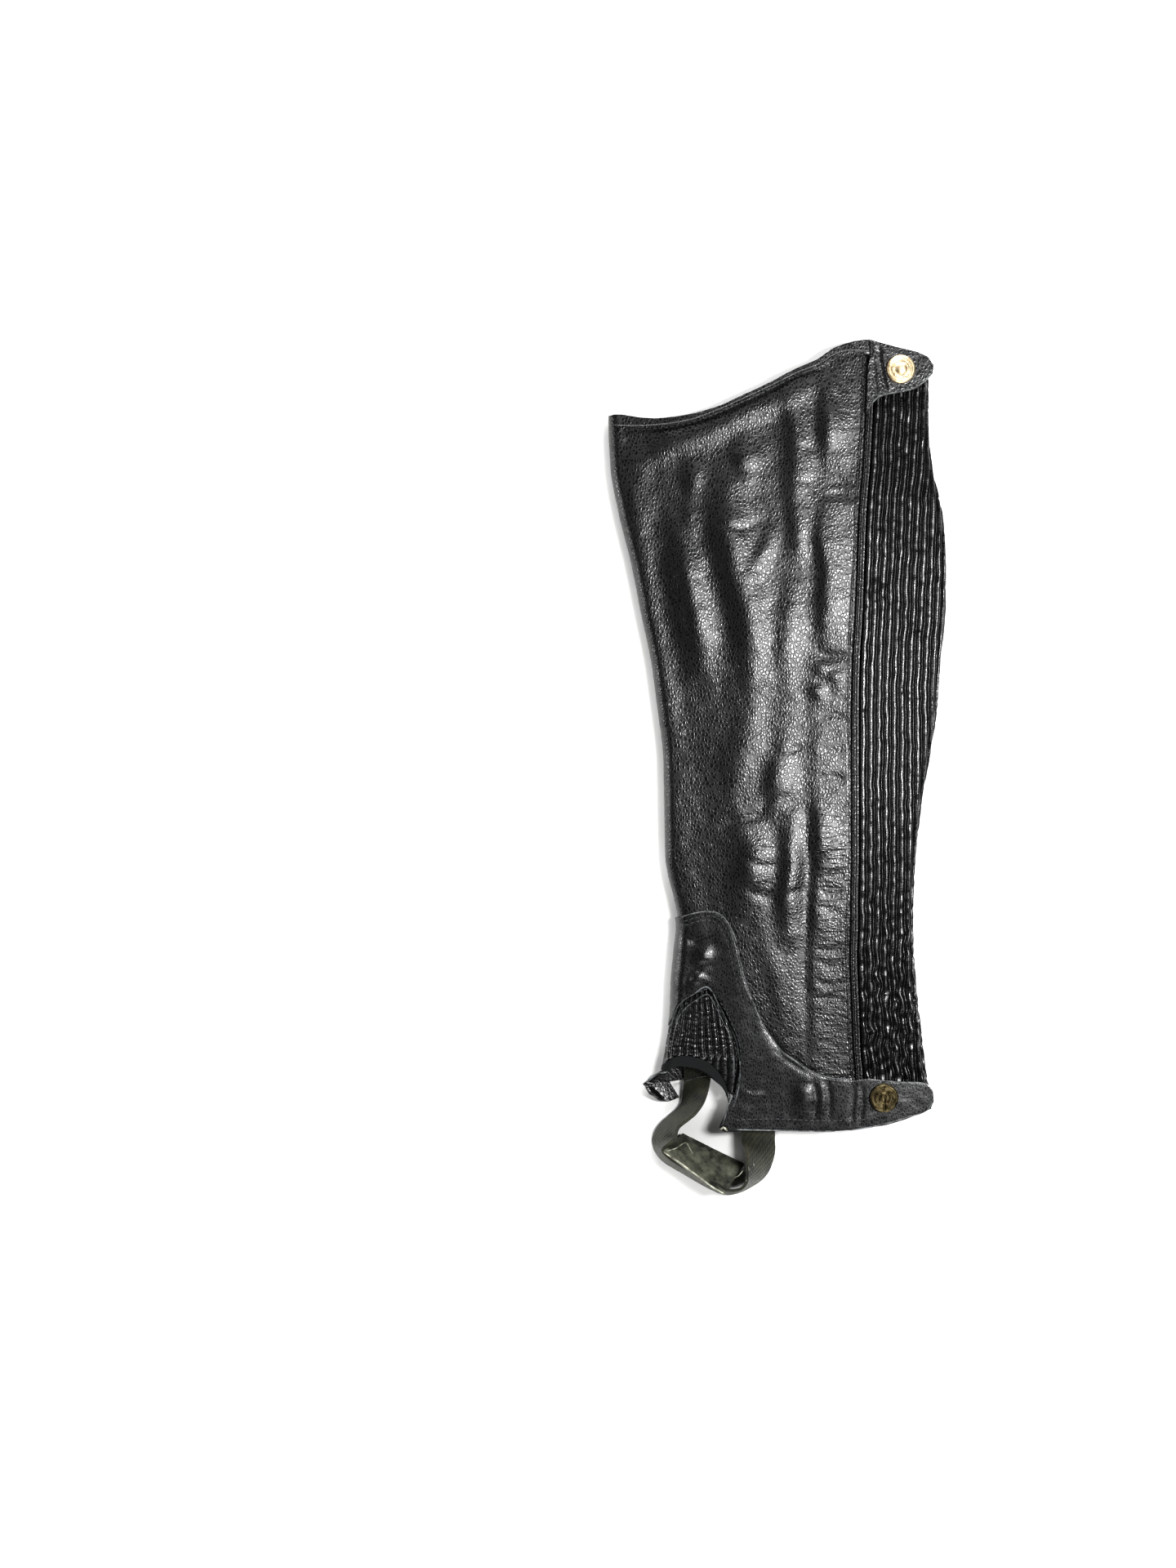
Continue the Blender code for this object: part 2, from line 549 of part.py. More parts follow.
def build_zip():
    """Covered zip tape with its raised piping, between the main and the shirred panel."""
    profile = [(0.0, 0.0), (0.25, 0.0), (0.36, 1.0), (0.5, 1.25), (0.62, 1.0), (0.72, 0.0), (1.0, 0.0)]
    verts, faces = [], []
    rows = steps(218.0, -187.0, 52)
    low = SEAM_GAP
    width = ZIP_WIDTH - SEAM_GAP
    ring = len(profile) + 2
    for y in rows:
        left = section(y, 2) + low
        for across, rise in profile:
            x = left + width * across
            verts.append(Vector((x, y, top_height(x, y) - ZIP_SINK + ZIP_PIPING_RISE * rise)))
        for across in (1.0, 0.0):
            x = left + width * across
            verts.append(Vector((x, y, top_height(x, y) - ZIP_SINK - ZIP_WALL)))
    for r in range(len(rows) - 1):
        for i in range(ring):
            j = (i + 1) % ring
            faces.append((r * ring + i, r * ring + j, (r + 1) * ring + j, (r + 1) * ring + i))
    faces.append(tuple(range(ring)))
    faces.append(tuple(reversed(range((len(rows) - 1) * ring, len(rows) * ring))))
    return finish_mesh("zip_tape", verts, faces, "black_tape")


def band_between(name, upper, lower, outer, inner, material, across=3):
    """Strip between two edges of equal length in points, laid over the top layer."""
    verts, faces = [], []
    for (s0, y0), (s1, y1) in zip(upper, lower):
        line = [(s0 + (s1 - s0) * k / (across - 1), y0 + (y1 - y0) * k / (across - 1)) for k in range(across)]
        verts += [shin_offset(s, y, outer) for s, y in line]
        verts += [shin_offset(s, y, inner) for s, y in reversed(line)]
    ring = 2 * across
    count = len(upper)
    for r in range(count - 1):
        for i in range(ring):
            j = (i + 1) % ring
            faces.append((r * ring + i, r * ring + j, (r + 1) * ring + j, (r + 1) * ring + i))
    faces.append(tuple(range(ring)))
    faces.append(tuple(reversed(range((count - 1) * ring, count * ring))))
    return finish_mesh(name, verts, faces, material)


def build_top_binding():
    """Turned band along the top edge, wider at its two ends."""
    course = [(shin_arc(x, y), y) for x, y in rounded([(48.0, 225.5)] + TOP_EDGE[1:-1] + [(-86.5, 186.0)], 8.0)]
    count = len(course)
    lower = []
    for i, (s, y) in enumerate(course):
        t = i / (count - 1)
        width = 3.8 + 2.8 * max(0.0, 1.0 - t / 0.3) ** 0.8 + 2.6 * max(0.0, (t - 0.6) / 0.4)
        if i == 0:
            a, b = course[0], course[1]
        elif i == count - 1:
            a, b = course[-2], course[-1]
        else:
            a, b = course[i - 1], course[i + 1]
        dx, dy = b[0] - a[0], b[1] - a[1]
        length = math.hypot(dx, dy)
        down = (-dy / length, dx / length)
        if down[1] > 0:
            down = (-down[0], -down[1])
        if i == 0:
            down = (0.0, -1.0)
        lower.append((s + width * down[0], y + width * down[1]))
    return band_between("top_binding", course, lower, LAP_GAP + BINDING_WALL, LAP_GAP, "black_leather")


def build_top_tab():
    """Fastening tab that crosses the zip and the shirred panel at the top."""
    outline = clean_outline(resample([(x, y) for x, y in TOP_TAB] + [TOP_TAB[0]], 6.0))
    candidates = [((47.5 + 5.2 * i, 190.0 + 5.2 * j + 2.6 * (i % 2)), 5.2) for i in range(8) for j in range(9)]
    points = fill_points(outline, candidates, 0.5)

    def at(x, y, offset):
        return Vector((x, y, top_height(x, y) + offset))

    return cut_sheet("top_tab", outline, points, lambda x, y: at(x, y, SEAM_GAP + OVERLAY_WALL),
                     lambda x, y: at(x, y, SEAM_GAP), "black_leather")


def build_foot_overlay():
    """Foot piece lapped on the main panel, with the lower fastening tab in one with it."""
    left, right = arch_sides(0.0)
    left = [p for p in left if p[1] > -138.0][::-1]
    right = [p for p in right if p[1] > -176.5]
    wrap = -2.6
    seam = [(shin_arc(x, y), y) for x, y in rounded(FOOT_SEAM, 3.2)]
    fold_top = [(wrap, -78.5), (0.0, -78.5), (1.8, -78.5)]
    tab = [(shin_arc(x, y), y) for x, y in rounded(FOOT_TAB, 6.0)]
    hem = [(shin_arc(x, y), y) for x, y in resample(FOOT_HEM, 8.0)]
    front = [(shin_arc(x, y), y) for x, y in [(-29.0, -183.0)]]
    arch = resample(left + right, 2.4)
    low_left = [(wrap, ROWS_FROM + ROW_STEP * k) for k in (15, 14, 13, 12)]
    low_left += [(wrap, ROWS_FROM + 0.5 * ROW_STEP * k) for k in (23, 22, 21, 20, 19, 18, 17)]
    outline = clean_outline(fold_top + seam + tab + hem + front + arch[::-1] + low_left[::-1])
    points = fill_points(outline, leather_lattice(-2.0, 150.0), 0.4)
    return cut_sheet("foot_overlay", outline, points,
                     lambda s, y: shin_offset(s, y, LAP_GAP + OVERLAY_WALL),
                     lambda s, y: shin_offset(s, y, LAP_GAP), "black_leather")


def gusset_valley(s, y):
    """Depth below the rib crests, gathered towards the apex of the arch."""
    centre = shin_arc(GUSSET_CENTRE, y)
    fan = 0.82 + 0.18 * min(1.0, (-116.0 - y) / 38.0)
    return GUSSET_RIB_DEPTH * (0.5 + 0.5 * math.cos(math.tau * (s - centre) / (GUSSET_RIB_PITCH * fan) + math.pi))


def hem_band_edges():
    """Lower and upper edge of the gusset's hem band on the flat."""
    lower = [(shin_arc(x, y), y) for x, y in rounded(GUSSET_HEM, 3.0)]
    lower[0] = (-3.4, lower[0][1])
    count = len(lower)
    upper = [(s, y + GUSSET_HEM_BAND * (1.0 - 0.3 * max(0.0, i / (count - 1) - 0.75) / 0.25))
             for i, (s, y) in enumerate(lower)]
    return lower, upper


def build_gusset():
    """Shirred gusset let into the instep, in a pointed arch, its edge under the foot piece."""
    left, right = arch_sides(GUSSET_LAP)
    base = [(s, y + SEAM_GAP) for s, y in hem_band_edges()[1]]
    base[0] = (base[0][0] - 0.3, base[0][1])
    left = [p for p in left if p[1] > base[0][1] + 1.0][::-1]
    right = [p for p in right if p[1] > base[-1][1] + 1.0]
    base = base[::-1]
    arch = resample(left + right, 3.6)
    outline = clean_outline(arch + base, 0.6)
    half = GUSSET_RIB_PITCH / 2.0
    centre = shin_arc(GUSSET_CENTRE, -139.0)
    columns = [(centre + half * k, 2.0) for k in range(-13, 14)]
    points = fill_points(outline, [((s, y), 2.0) for s, _ in columns for y in steps(-173.5, -113.5, 17)], 0.5)
    return cut_sheet("gusset", outline, points, lambda s, y: shin_offset(s, y, -0.1 - gusset_valley(s, y)),
                     lambda s, y: shin_offset(s, y, -GUSSET_RIB_DEPTH - 1.2), "black_leather")


def build_gusset_binding():
    """Hem band of the gusset, over the opening at the instep."""
    lower, upper = hem_band_edges()
    return band_between("gusset_binding", upper, lower, 0.0, -LEATHER_WALL, "black_tape")


def ribbon(name, stations, wall, material, smooth_steps, sharp=40.0):
    """Band of webbing swept through pairs of edge points."""
    pairs = []
    n = len(stations)
    for i in range(n - 1):
        count = max(1, math.ceil(math.dist(stations[i][0], stations[i + 1][0]) / smooth_steps))
        for k in range(count):
            pairs.append(tuple(curve_at([st[e] for st in stations], i, k / count) for e in (0, 1)))
    pairs.append((Vector(stations[-1][0]), Vector(stations[-1][1])))
    verts, faces = [], []
    for i, (low, high) in enumerate(pairs):
        before, after = pairs[max(i - 1, 0)], pairs[min(i + 1, len(pairs) - 1)]
        along = (after[0] + after[1] - before[0] - before[1]).normalized()
        across = (high - low).normalized()
        normal = along.cross(across).normalized() * (wall / 2.0)
        inset = across * 0.4
        verts += [low + normal * 0.6, low + inset + normal, high - inset + normal, high + normal * 0.6,
                  high - normal * 0.6, high - inset - normal, low + inset - normal, low - normal * 0.6]
    for r in range(len(pairs) - 1):
        for i in range(8):
            j = (i + 1) % 8
            faces.append((r * 8 + i, r * 8 + j, (r + 1) * 8 + j, (r + 1) * 8 + i))
    faces.append(tuple(range(8)))
    faces.append(tuple(reversed(range((len(pairs) - 1) * 8, len(pairs) * 8))))
    return finish_mesh(name, verts, faces, material, sharp)


def curve_at(points, i, t):
    """Point at t between points i and i + 1 of a smooth curve."""
    n = len(points)
    p0, p1, p2, p3 = points[max(i - 1, 0)], points[i], points[i + 1], points[min(i + 2, n - 1)]
    return Vector(tuple(
        0.5 * (2 * b + (c - a) * t + (2 * a - 5 * b + 4 * c - d) * t * t + (3 * b - a - 3 * c + d) * t**3)
        for a, b, c, d in zip(p0, p1, p2, p3)))


def build_cap(name, centre, lift):
    """Round snap cap: rolled rim, dished field, two concentric rings and a centre button."""
    profile = [(0.0, 0.0), (CAP_RADIUS * 0.94, 0.0), (CAP_RADIUS, 0.5), (CAP_RADIUS, 1.2), (CAP_RADIUS * 0.95, 1.9),
               (CAP_RADIUS * 0.84, 2.3), (CAP_RADIUS * 0.72, 2.1), (CAP_RADIUS * 0.62, 2.4), (CAP_RADIUS * 0.5, 2.2),
               (CAP_RADIUS * 0.36, 2.8), (0.0, CAP_HEIGHT)]
    x, y = centre
    normal = outward(lambda a, b: Vector((a, b, top_height(a, b))), x, y, False)
    seat = Vector((x, y, top_height(x, y) + lift)) + normal * SEAM_GAP
    side = Vector((0.0, 1.0, 0.0)).cross(normal).normalized()
    ahead = normal.cross(side)
    verts, faces = [seat], []
    rings = profile[1:-1]
    for radius, height in rings:
        for k in range(CAP_SEGMENTS):
            angle = math.tau * k / CAP_SEGMENTS
            verts.append(seat + side * (radius * math.cos(angle)) + ahead * (radius * math.sin(angle)) + normal * height)
    verts.append(seat + normal * CAP_HEIGHT)
    last = len(verts) - 1
    for k in range(CAP_SEGMENTS):
        m = (k + 1) % CAP_SEGMENTS
        faces.append((0, 1 + m, 1 + k))
        for r in range(len(rings) - 1):
            a, b = 1 + r * CAP_SEGMENTS, 1 + (r + 1) * CAP_SEGMENTS
            faces.append((a + k, a + m, b + m, b + k))
        b = 1 + (len(rings) - 1) * CAP_SEGMENTS
        faces.append((b + k, b + m, last))
    return finish_mesh(name, verts, faces, "brass", 35.0)


def centre_on_origin():
    """Moves every mesh by the same step, so that the origin is the middle of the footprint."""
    points = [v.co for thing in bpy.data.objects for v in thing.data.vertices]
    middle_x = 0.5 * (min(p.x for p in points) + max(p.x for p in points))
    middle_y = 0.5 * (min(p.y for p in points) + max(p.y for p in points))
    floor = min(p.z for p in points)
    for thing in bpy.data.objects:
        for v in thing.data.vertices:
            v.co -= Vector((middle_x, middle_y, floor))


def build():
    for thing in list(bpy.data.objects):
        bpy.data.objects.remove(thing, do_unlink=True)
    build_main_panel()
    build_shirred_panel()
    build_zip()
    build_top_binding()
    build_top_tab()
    build_foot_overlay()
    build_gusset()
    build_gusset_binding()
    ribbon("foot_strap", STRAP, STRAP_WALL, "black_webbing", 5.0)
    ribbon("strap_pad", PAD, PAD_WALL, "worn_vinyl", 8.0)
    build_cap("snap_cap_top", TOP_CAP, SEAM_GAP + OVERLAY_WALL)
    build_cap("snap_cap_foot", FOOT_CAP, LAP_GAP + OVERLAY_WALL)
    centre_on_origin()


build()
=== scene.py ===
import math

import bmesh
import bpy
import numpy as np
from mathutils import Matrix, Vector
from mathutils.bvhtree import BVHTree


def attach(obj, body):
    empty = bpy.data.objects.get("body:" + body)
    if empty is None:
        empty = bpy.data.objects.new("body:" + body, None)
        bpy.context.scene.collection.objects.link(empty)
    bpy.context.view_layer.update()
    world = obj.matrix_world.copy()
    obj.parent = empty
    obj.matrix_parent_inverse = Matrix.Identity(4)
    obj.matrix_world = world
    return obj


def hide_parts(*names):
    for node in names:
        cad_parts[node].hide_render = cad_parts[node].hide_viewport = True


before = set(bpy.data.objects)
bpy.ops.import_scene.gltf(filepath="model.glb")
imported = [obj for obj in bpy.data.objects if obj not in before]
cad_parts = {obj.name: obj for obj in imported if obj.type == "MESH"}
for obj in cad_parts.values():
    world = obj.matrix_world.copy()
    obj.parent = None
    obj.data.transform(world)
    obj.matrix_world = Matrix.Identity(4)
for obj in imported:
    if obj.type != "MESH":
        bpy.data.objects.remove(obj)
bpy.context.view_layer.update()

bl_info = {
    "name": "Leather Half Chap",
    "version": (1, 0, 0),
    "blender": (4, 5, 0),
    "location": "View3D > Sidebar > Half Chap",
    "description": "Dresses a flat half chap in grained leather, shirred elastic, webbing and brass",
    "category": "Object",
}

MM = 0.001
# The tables below count millimetres from the drawing's own middle; the part's origin lies this far from it
PLACE = np.array((0.49, 0.40, 0.0))

# Sections across the leg: y, shin, zip, calf, height at shin, at middle, at zip, at calf
SECTIONS = [
    (233.0, -89.5, 46.0, 80.0, 10.0, 10.5, 10.5, 9.5),
    (185.5, -89.5, 44.0, 80.0, 10.5, 11.5, 11.5, 10.0),
    (159.5, -88.5, 42.5, 82.0, 11.0, 12.5, 12.0, 10.0),
    (134.0, -84.0, 40.5, 87.5, 11.5, 13.0, 12.5, 10.0),
    (108.0, -77.5, 39.5, 89.5, 11.5, 13.5, 12.5, 10.0),
    (82.5, -72.5, 38.5, 89.0, 11.5, 13.5, 13.0, 10.0),
    (56.5, -67.0, 37.0, 86.5, 11.5, 13.5, 13.0, 10.5),
    (30.5, -63.5, 36.5, 84.5, 11.5, 13.5, 13.0, 10.5),
    (5.0, -60.5, 36.5, 80.5, 11.5, 14.0, 13.0, 10.5),
    (-21.0, -60.0, 36.5, 76.0, 12.0, 14.0, 13.5, 11.0),
    (-46.5, -59.5, 36.5, 73.5, 12.0, 14.5, 13.5, 11.0),
    (-72.5, -54.0, 36.0, 72.0, 12.0, 14.5, 13.5, 11.0),
    (-83.0, -52.0, 36.0, 72.0, 12.0, 14.5, 13.5, 11.0),
    (-98.5, -53.5, 35.5, 72.5, 12.0, 14.5, 13.5, 11.0),
    (-124.0, -56.0, 36.5, 74.5, 12.0, 14.0, 13.5, 11.0),
    (-150.0, -60.0, 37.5, 77.5, 12.0, 13.5, 13.0, 11.0),
    (-162.0, -62.0, 38.5, 79.0, 12.0, 13.0, 13.0, 11.0),
    (-175.5, -62.5, 38.5, 81.5, 12.0, 12.5, 13.0, 11.0),
    (-197.0, -62.5, 38.5, 81.5, 12.0, 12.5, 12.5, 11.0),
]
# Broad folds of the top layer: name, rise, half width, course
FOLDS = [
    ("cuff ridge", 1.6, 8.0, [(-50.5, 168.5), (-1.0, 187.5)]),
    ("cuff dip", -1.0, 8.0, [(-65.5, 181.0), (-1.0, 197.5)]),
    ("cuff pit", -1.4, 7.0, [(-76.0, 176.0), (-74.0, 170.5)]),
    ("upper long ridge", 2.2, 7.0, [(10.0, 196.5), (14.0, 129.5)]),
    ("lower long ridge", 1.8, 7.0, [(14.0, 93.0), (7.5, 63.0)]),
    ("calf bump", 1.6, 8.0, [(-13.0, 163.0), (-11.0, 156.5)]),
    ("middle bump", 1.5, 8.0, [(-41.0, 151.0), (-38.5, 146.0)]),
    ("low bump", 1.2, 8.0, [(-20.0, 139.0), (-19.0, 133.0)]),
    ("shin bump", 1.4, 8.0, [(-72.0, 157.5), (-70.5, 152.0)]),
    ("shin ridge", 1.5, 6.0, [(-71.0, 138.0), (-66.0, 91.0)]),
    ("shin trough", -2.6, 6.5, [(-59.0, 140.5), (-51.5, 95.0), (-41.5, 28.5), (-40.0, -38.0)]),
    ("ankle trough", -1.9, 8.0, [(-38.5, -52.0), (-29.0, -96.0), (-22.5, -115.5)]),
    ("second ridge", 2.0, 6.0, [(-46.0, 116.5), (-38.5, 86.5), (-36.0, 48.0)]),
    ("second trough", -2.2, 5.5, [(-35.5, 134.0), (-29.0, 104.0), (-23.5, 71.5), (-19.5, 39.5)]),
    ("third ridge", 2.0, 7.0, [(-22.5, 121.0), (-9.5, 71.5), (-9.5, 24.5), (-17.0, -18.5)]),
    ("branch ridge", 1.0, 6.0, [(-1.0, 114.5), (-6.0, 86.5)]),
    ("ankle bulge", 2.0, 16.0, [(-3.0, -3.5), (-1.5, -66.0)]),
    ("ankle ridge", 1.6, 8.0, [(8.5, -74.5), (6.5, -122.0)]),
    ("shin edge ridge", 1.4, 7.0, [(-50.5, 7.0), (-50.0, -44.5), (-44.0, -66.0), (-39.5, -98.5)]),
    ("placket top swell", 1.0, 6.0, [(30.0, 185.5), (30.0, 159.5)]),
    ("placket middle swell", 1.2, 7.0, [(30.0, 127.5), (29.0, 67.5)]),
    ("placket low swell", 1.0, 6.0, [(29.0, -23.0), (28.5, -89.5)]),
    ("foot swell", 1.0, 6.0, [(28.5, -132.5), (26.0, -180.0)]),
    ("foot dip", -1.4, 9.0, [(-11.5, -141.5), (-7.5, -147.5)]),
]
# Ridges of the leather, with an open flank on one side and a steep one on the other: rise, width to the
# trough on the left of the course, width on its right, crest
RIDGES = [
    (0.7, 8.0, 11.0, [(-77.4, 158.9), (-75.2, 138.2), (-74.0, 121.0), (-72.2, 103.8), (-70.1, 86.6), (-67.5, 69.4),
        (-64.5, 52.2), (-61.5, 35.0), (-57.2, 17.8)]),
    (0.3, 8.0, 10.0, [(-57.2, 17.8), (-52.9, 0.6), (-52.0, -16.6), (-52.5, -33.8), (-50.7, -51.0), (-47.3, -66.0),
        (-43.0, -85.4), (-40.4, -104.7)]),
    (1.9, 12.0, 11.5, [(-51.6, 123.2), (-49.0, 103.8), (-45.6, 86.6), (-42.1, 69.4), (-40.4, 54.4)]),
    (0.8, 6.0, 7.0, [(-45.6, 159.7), (-44.7, 144.7)]),
    (0.5, 5.0, 6.0, [(-47.3, 136.1), (-45.6, 129.6)]),
    (1.95, 12.5, 14.0, [(-27.1, 146.0), (-26.7, 125.3), (-22.8, 103.8), (-17.2, 86.6), (-14.6, 69.4), (-13.8, 50.1)]),
    (0.65, 11.0, 12.0, [(-13.8, 50.1), (-15.0, 30.7), (-16.3, 15.7), (-21.5, 0.6), (-23.6, -18.7)]),
    (0.7, 5.0, 6.5, [(-4.3, 122.8), (-8.6, 112.4), (-13.8, 101.7)]),
    (1.1, 7.5, 11.0, [(-18.9, 170.5), (-17.6, 155.4)]),
    (1.1, 8.0, 11.5, [(6.0, 199.3), (9.0, 181.2), (9.9, 164.0), (9.0, 146.8), (9.9, 133.9)]),
    (0.8, 7.0, 8.0, [(9.9, 133.9), (10.3, 108.1)]),
    (0.95, 8.5, 11.5, [(7.7, 94.4), (4.7, 78.0), (3.4, 60.8), (3.9, 47.9)]),
    (0.35, 8.0, 9.5, [(4.3, 39.3), (4.3, 26.4), (1.7, 9.2)]),
    (1.15, 8.0, 12.0, [(1.7, 7.1), (-0.4, -3.7), (-2.6, -18.7)]),
    (1.5, 12.0, 13.0, [(-17.2, -32.9), (-12.9, -46.7), (-16.3, -68.2)]),
    (1.5, 7.0, 8.5, [(6.4, -27.3), (6.0, -51.0), (4.3, -68.2), (5.2, -87.5)]),
    (0.4, 8.0, 10.0, [(-9.5, -78.9), (-6.0, -96.1), (0.0, -111.2), (2.6, -128.4), (4.3, -143.4)]),
    (1.6, 5.5, 14.0, [(25.4, 196.3), (25.4, 176.9), (26.2, 164.9)]),
    (1.25, 6.5, 15.0, [(24.9, 137.4), (22.8, 123.2), (25.8, 103.8), (24.5, 78.0), (25.8, 66.9)]),
    (0.7, 5.0, 6.0, [(19.8, 55.7), (24.1, 48.8)]),
    (0.7, 4.5, 6.0, [(28.4, 51.4), (31.0, 44.5)]),
    (0.7, 5.0, 6.0, [(18.1, 43.6), (22.4, 35.9)]),
    (0.4, 6.0, 14.0, [(20.6, 26.4), (20.6, 11.4), (20.6, -18.7)]),
    (1.6, 6.5, 13.0, [(20.6, -23.9), (21.1, -38.1), (23.2, -51.0)]),
    (0.6, 6.0, 13.0, [(21.1, -58.7), (20.2, -72.5), (20.2, -91.8)]),
    (0.2, 6.0, 12.0, [(19.4, -104.7), (19.4, -117.6)]),
    (0.4, 6.0, 13.0, [(14.6, -128.4), (14.6, -145.6), (16.3, -154.2)]),
    (1.1, 12.0, 9.0, [(17.2, 201.0), (3.4, 195.0), (-13.8, 188.6), (-27.5, 181.7), (-38.7, 176.5), (-48.2, 173.1),
        (-56.8, 170.5), (-65.4, 164.0), (-71.4, 160.2)]),
    (0.9, 5.0, 5.0, [(-39.6, -94.0), (-39.6, -103.4)]),
    (0.8, 4.0, 5.0, [(-42.6, -105.1), (-46.0, -113.7)]),
    (0.8, 7.0, 8.0, [(13.8, -164.9), (13.8, -180.0)]),
]
# Fine creases, as troughs where negative: rise, half width, course
CREASES = [
    (-0.7, 2.2, [(-31.0, -30.3), (-20.2, -27.7), (-5.2, -24.7)]),
    (-0.5, 1.8, [(-3.0, -14.4), (-7.3, -18.7), (-11.6, -25.2)]),
    (-0.4, 1.6, [(-20.2, -46.7), (-7.3, -51.8), (6.9, -50.1)]),
    (-0.4, 1.6, [(-18.1, -63.0), (-5.2, -67.3), (14.2, -63.9)]),
    (-0.9, 2.2, [(-49.0, -88.4), (-43.0, -91.8), (-35.3, -90.5)]),
    (-0.8, 2.0, [(-49.0, -112.0), (-43.9, -105.6), (-36.5, -103.4)]),
    (0.7, 2.6, [(-46.9, -116.3), (-41.3, -109.9), (-36.1, -113.7)]),
    (-0.5, 1.8, [(-6.0, 12.7), (1.3, 8.4), (14.2, 11.4)]),
    (-0.4, 1.8, [(-35.3, 129.6), (-20.2, 125.3), (-9.5, 129.6)]),
    (-0.4, 1.8, [(9.9, 169.2), (14.2, 167.5), (18.5, 169.2)]),
    (-0.4, 1.8, [(8.6, 151.1), (14.2, 149.4), (18.5, 152.0)]),
    (-0.7, 2.0, [(22.4, 141.7), (31.0, 144.3), (40.4, 141.7)]),
    (-0.5, 1.6, [(24.9, 148.6), (32.7, 150.3), (39.6, 147.7)]),
    (-0.8, 2.2, [(19.8, 60.8), (27.5, 58.3), (37.0, 60.0)]),
    (-0.4, 1.4, [(20.6, 26.4), (28.4, 28.2), (36.1, 25.6)]),
    (-0.4, 1.4, [(20.6, 11.4), (28.4, 9.2), (36.1, 11.8)]),
    (-0.5, 1.5, [(19.8, -5.8), (27.5, -4.5), (36.1, -7.1)]),
    (-0.4, 1.4, [(19.8, -18.7), (27.5, -20.9), (36.1, -18.3)]),
    (-0.6, 1.6, [(21.5, -55.3), (28.4, -56.1), (36.1, -53.5)]),
    (-0.4, 1.4, [(18.9, -63.9), (27.5, -66.4), (35.3, -64.7)]),
    (-0.4, 1.4, [(18.9, -71.6), (27.5, -75.0), (35.3, -77.6)]),
    (-0.6, 1.6, [(18.9, -94.0), (26.7, -96.5), (35.3, -94.0)]),
    (-0.4, 1.4, [(18.9, -100.8), (25.8, -104.3), (35.3, -101.7)]),
    (-0.4, 1.4, [(18.9, -111.2), (27.5, -114.6), (35.7, -111.2)]),
    (-0.5, 1.5, [(18.1, -122.3), (26.7, -120.6), (36.5, -124.1)]),
    (-0.4, 1.8, [(-9.5, -132.7), (3.4, -152.4), (20.6, -161.9)]),
    (-0.6, 3.0, [(16.3, -18.7), (15.5, -51.0), (14.2, -85.4), (13.8, -119.8), (14.6, -154.2)]),
    (-0.5, 1.4, [(17.2, -162.8), (19.4, -173.5), (18.1, -185.1)]),
    (0.4, 1.4, [(21.5, -163.6), (23.2, -173.5), (21.9, -182.5)]),
    (-0.4, 1.4, [(24.9, -163.6), (26.7, -173.5), (25.8, -184.3)]),
    (0.4, 1.6, [(-20.2, -169.6), (-13.8, -172.2), (-6.9, -170.5)]),
    (-0.5, 1.4, [(43.0, -165.3), (43.9, -175.7), (42.1, -186.8)]),
    (-0.4, 1.4, [(39.6, -165.3), (38.7, -175.7), (37.8, -186.8)]),
    (-0.5, 1.3, [(52.5, 222.5), (53.8, 211.3), (56.8, 197.6)]),
    (0.4, 1.2, [(54.6, 221.7), (55.5, 210.5), (58.5, 198.4)]),
    (-0.4, 1.2, [(49.9, 215.6), (50.3, 204.9), (51.6, 195.9)]),
]

# The shin and calf folds: depth from the outermost line to the fold's middle, and arc from that line to the flat
SHIN_DEPTH, SHIN_ARC = 5.0, 8.5
CALF_DEPTH, CALF_ARC = 4.5, 7.0
TOP_LAYER = 4.0  # what lies higher belongs to the top layer
RIDGE_END = 22.0  # over this length a ridge swells from its end
TROUGH = 0.35  # depth of the leather between the ridges
ROLLED_FROM = -159.3  # below this line the front corner of the foot is rolled in
LAP, OVERLAY = 0.5, 1.4  # a lapped piece's gap over the body leather, and the foot piece's thickness
TUCK = 1.5  # the foot piece's far-side flank is tucked in this far beside the gusset
ZIP_WIDTH, ZIP_SINK = 5.6, 1.0
PANEL_WIDTH, PANEL_RIBS = 62.0, 15
GUSSET_PITCH, GUSSET_CENTRE = 3.8, -40.8
REEDING = 0.10  # height of the reeding on the snap caps
FRAME_HEIGHT = 0.8256  # metres of the floor that the camera sees from head to foot

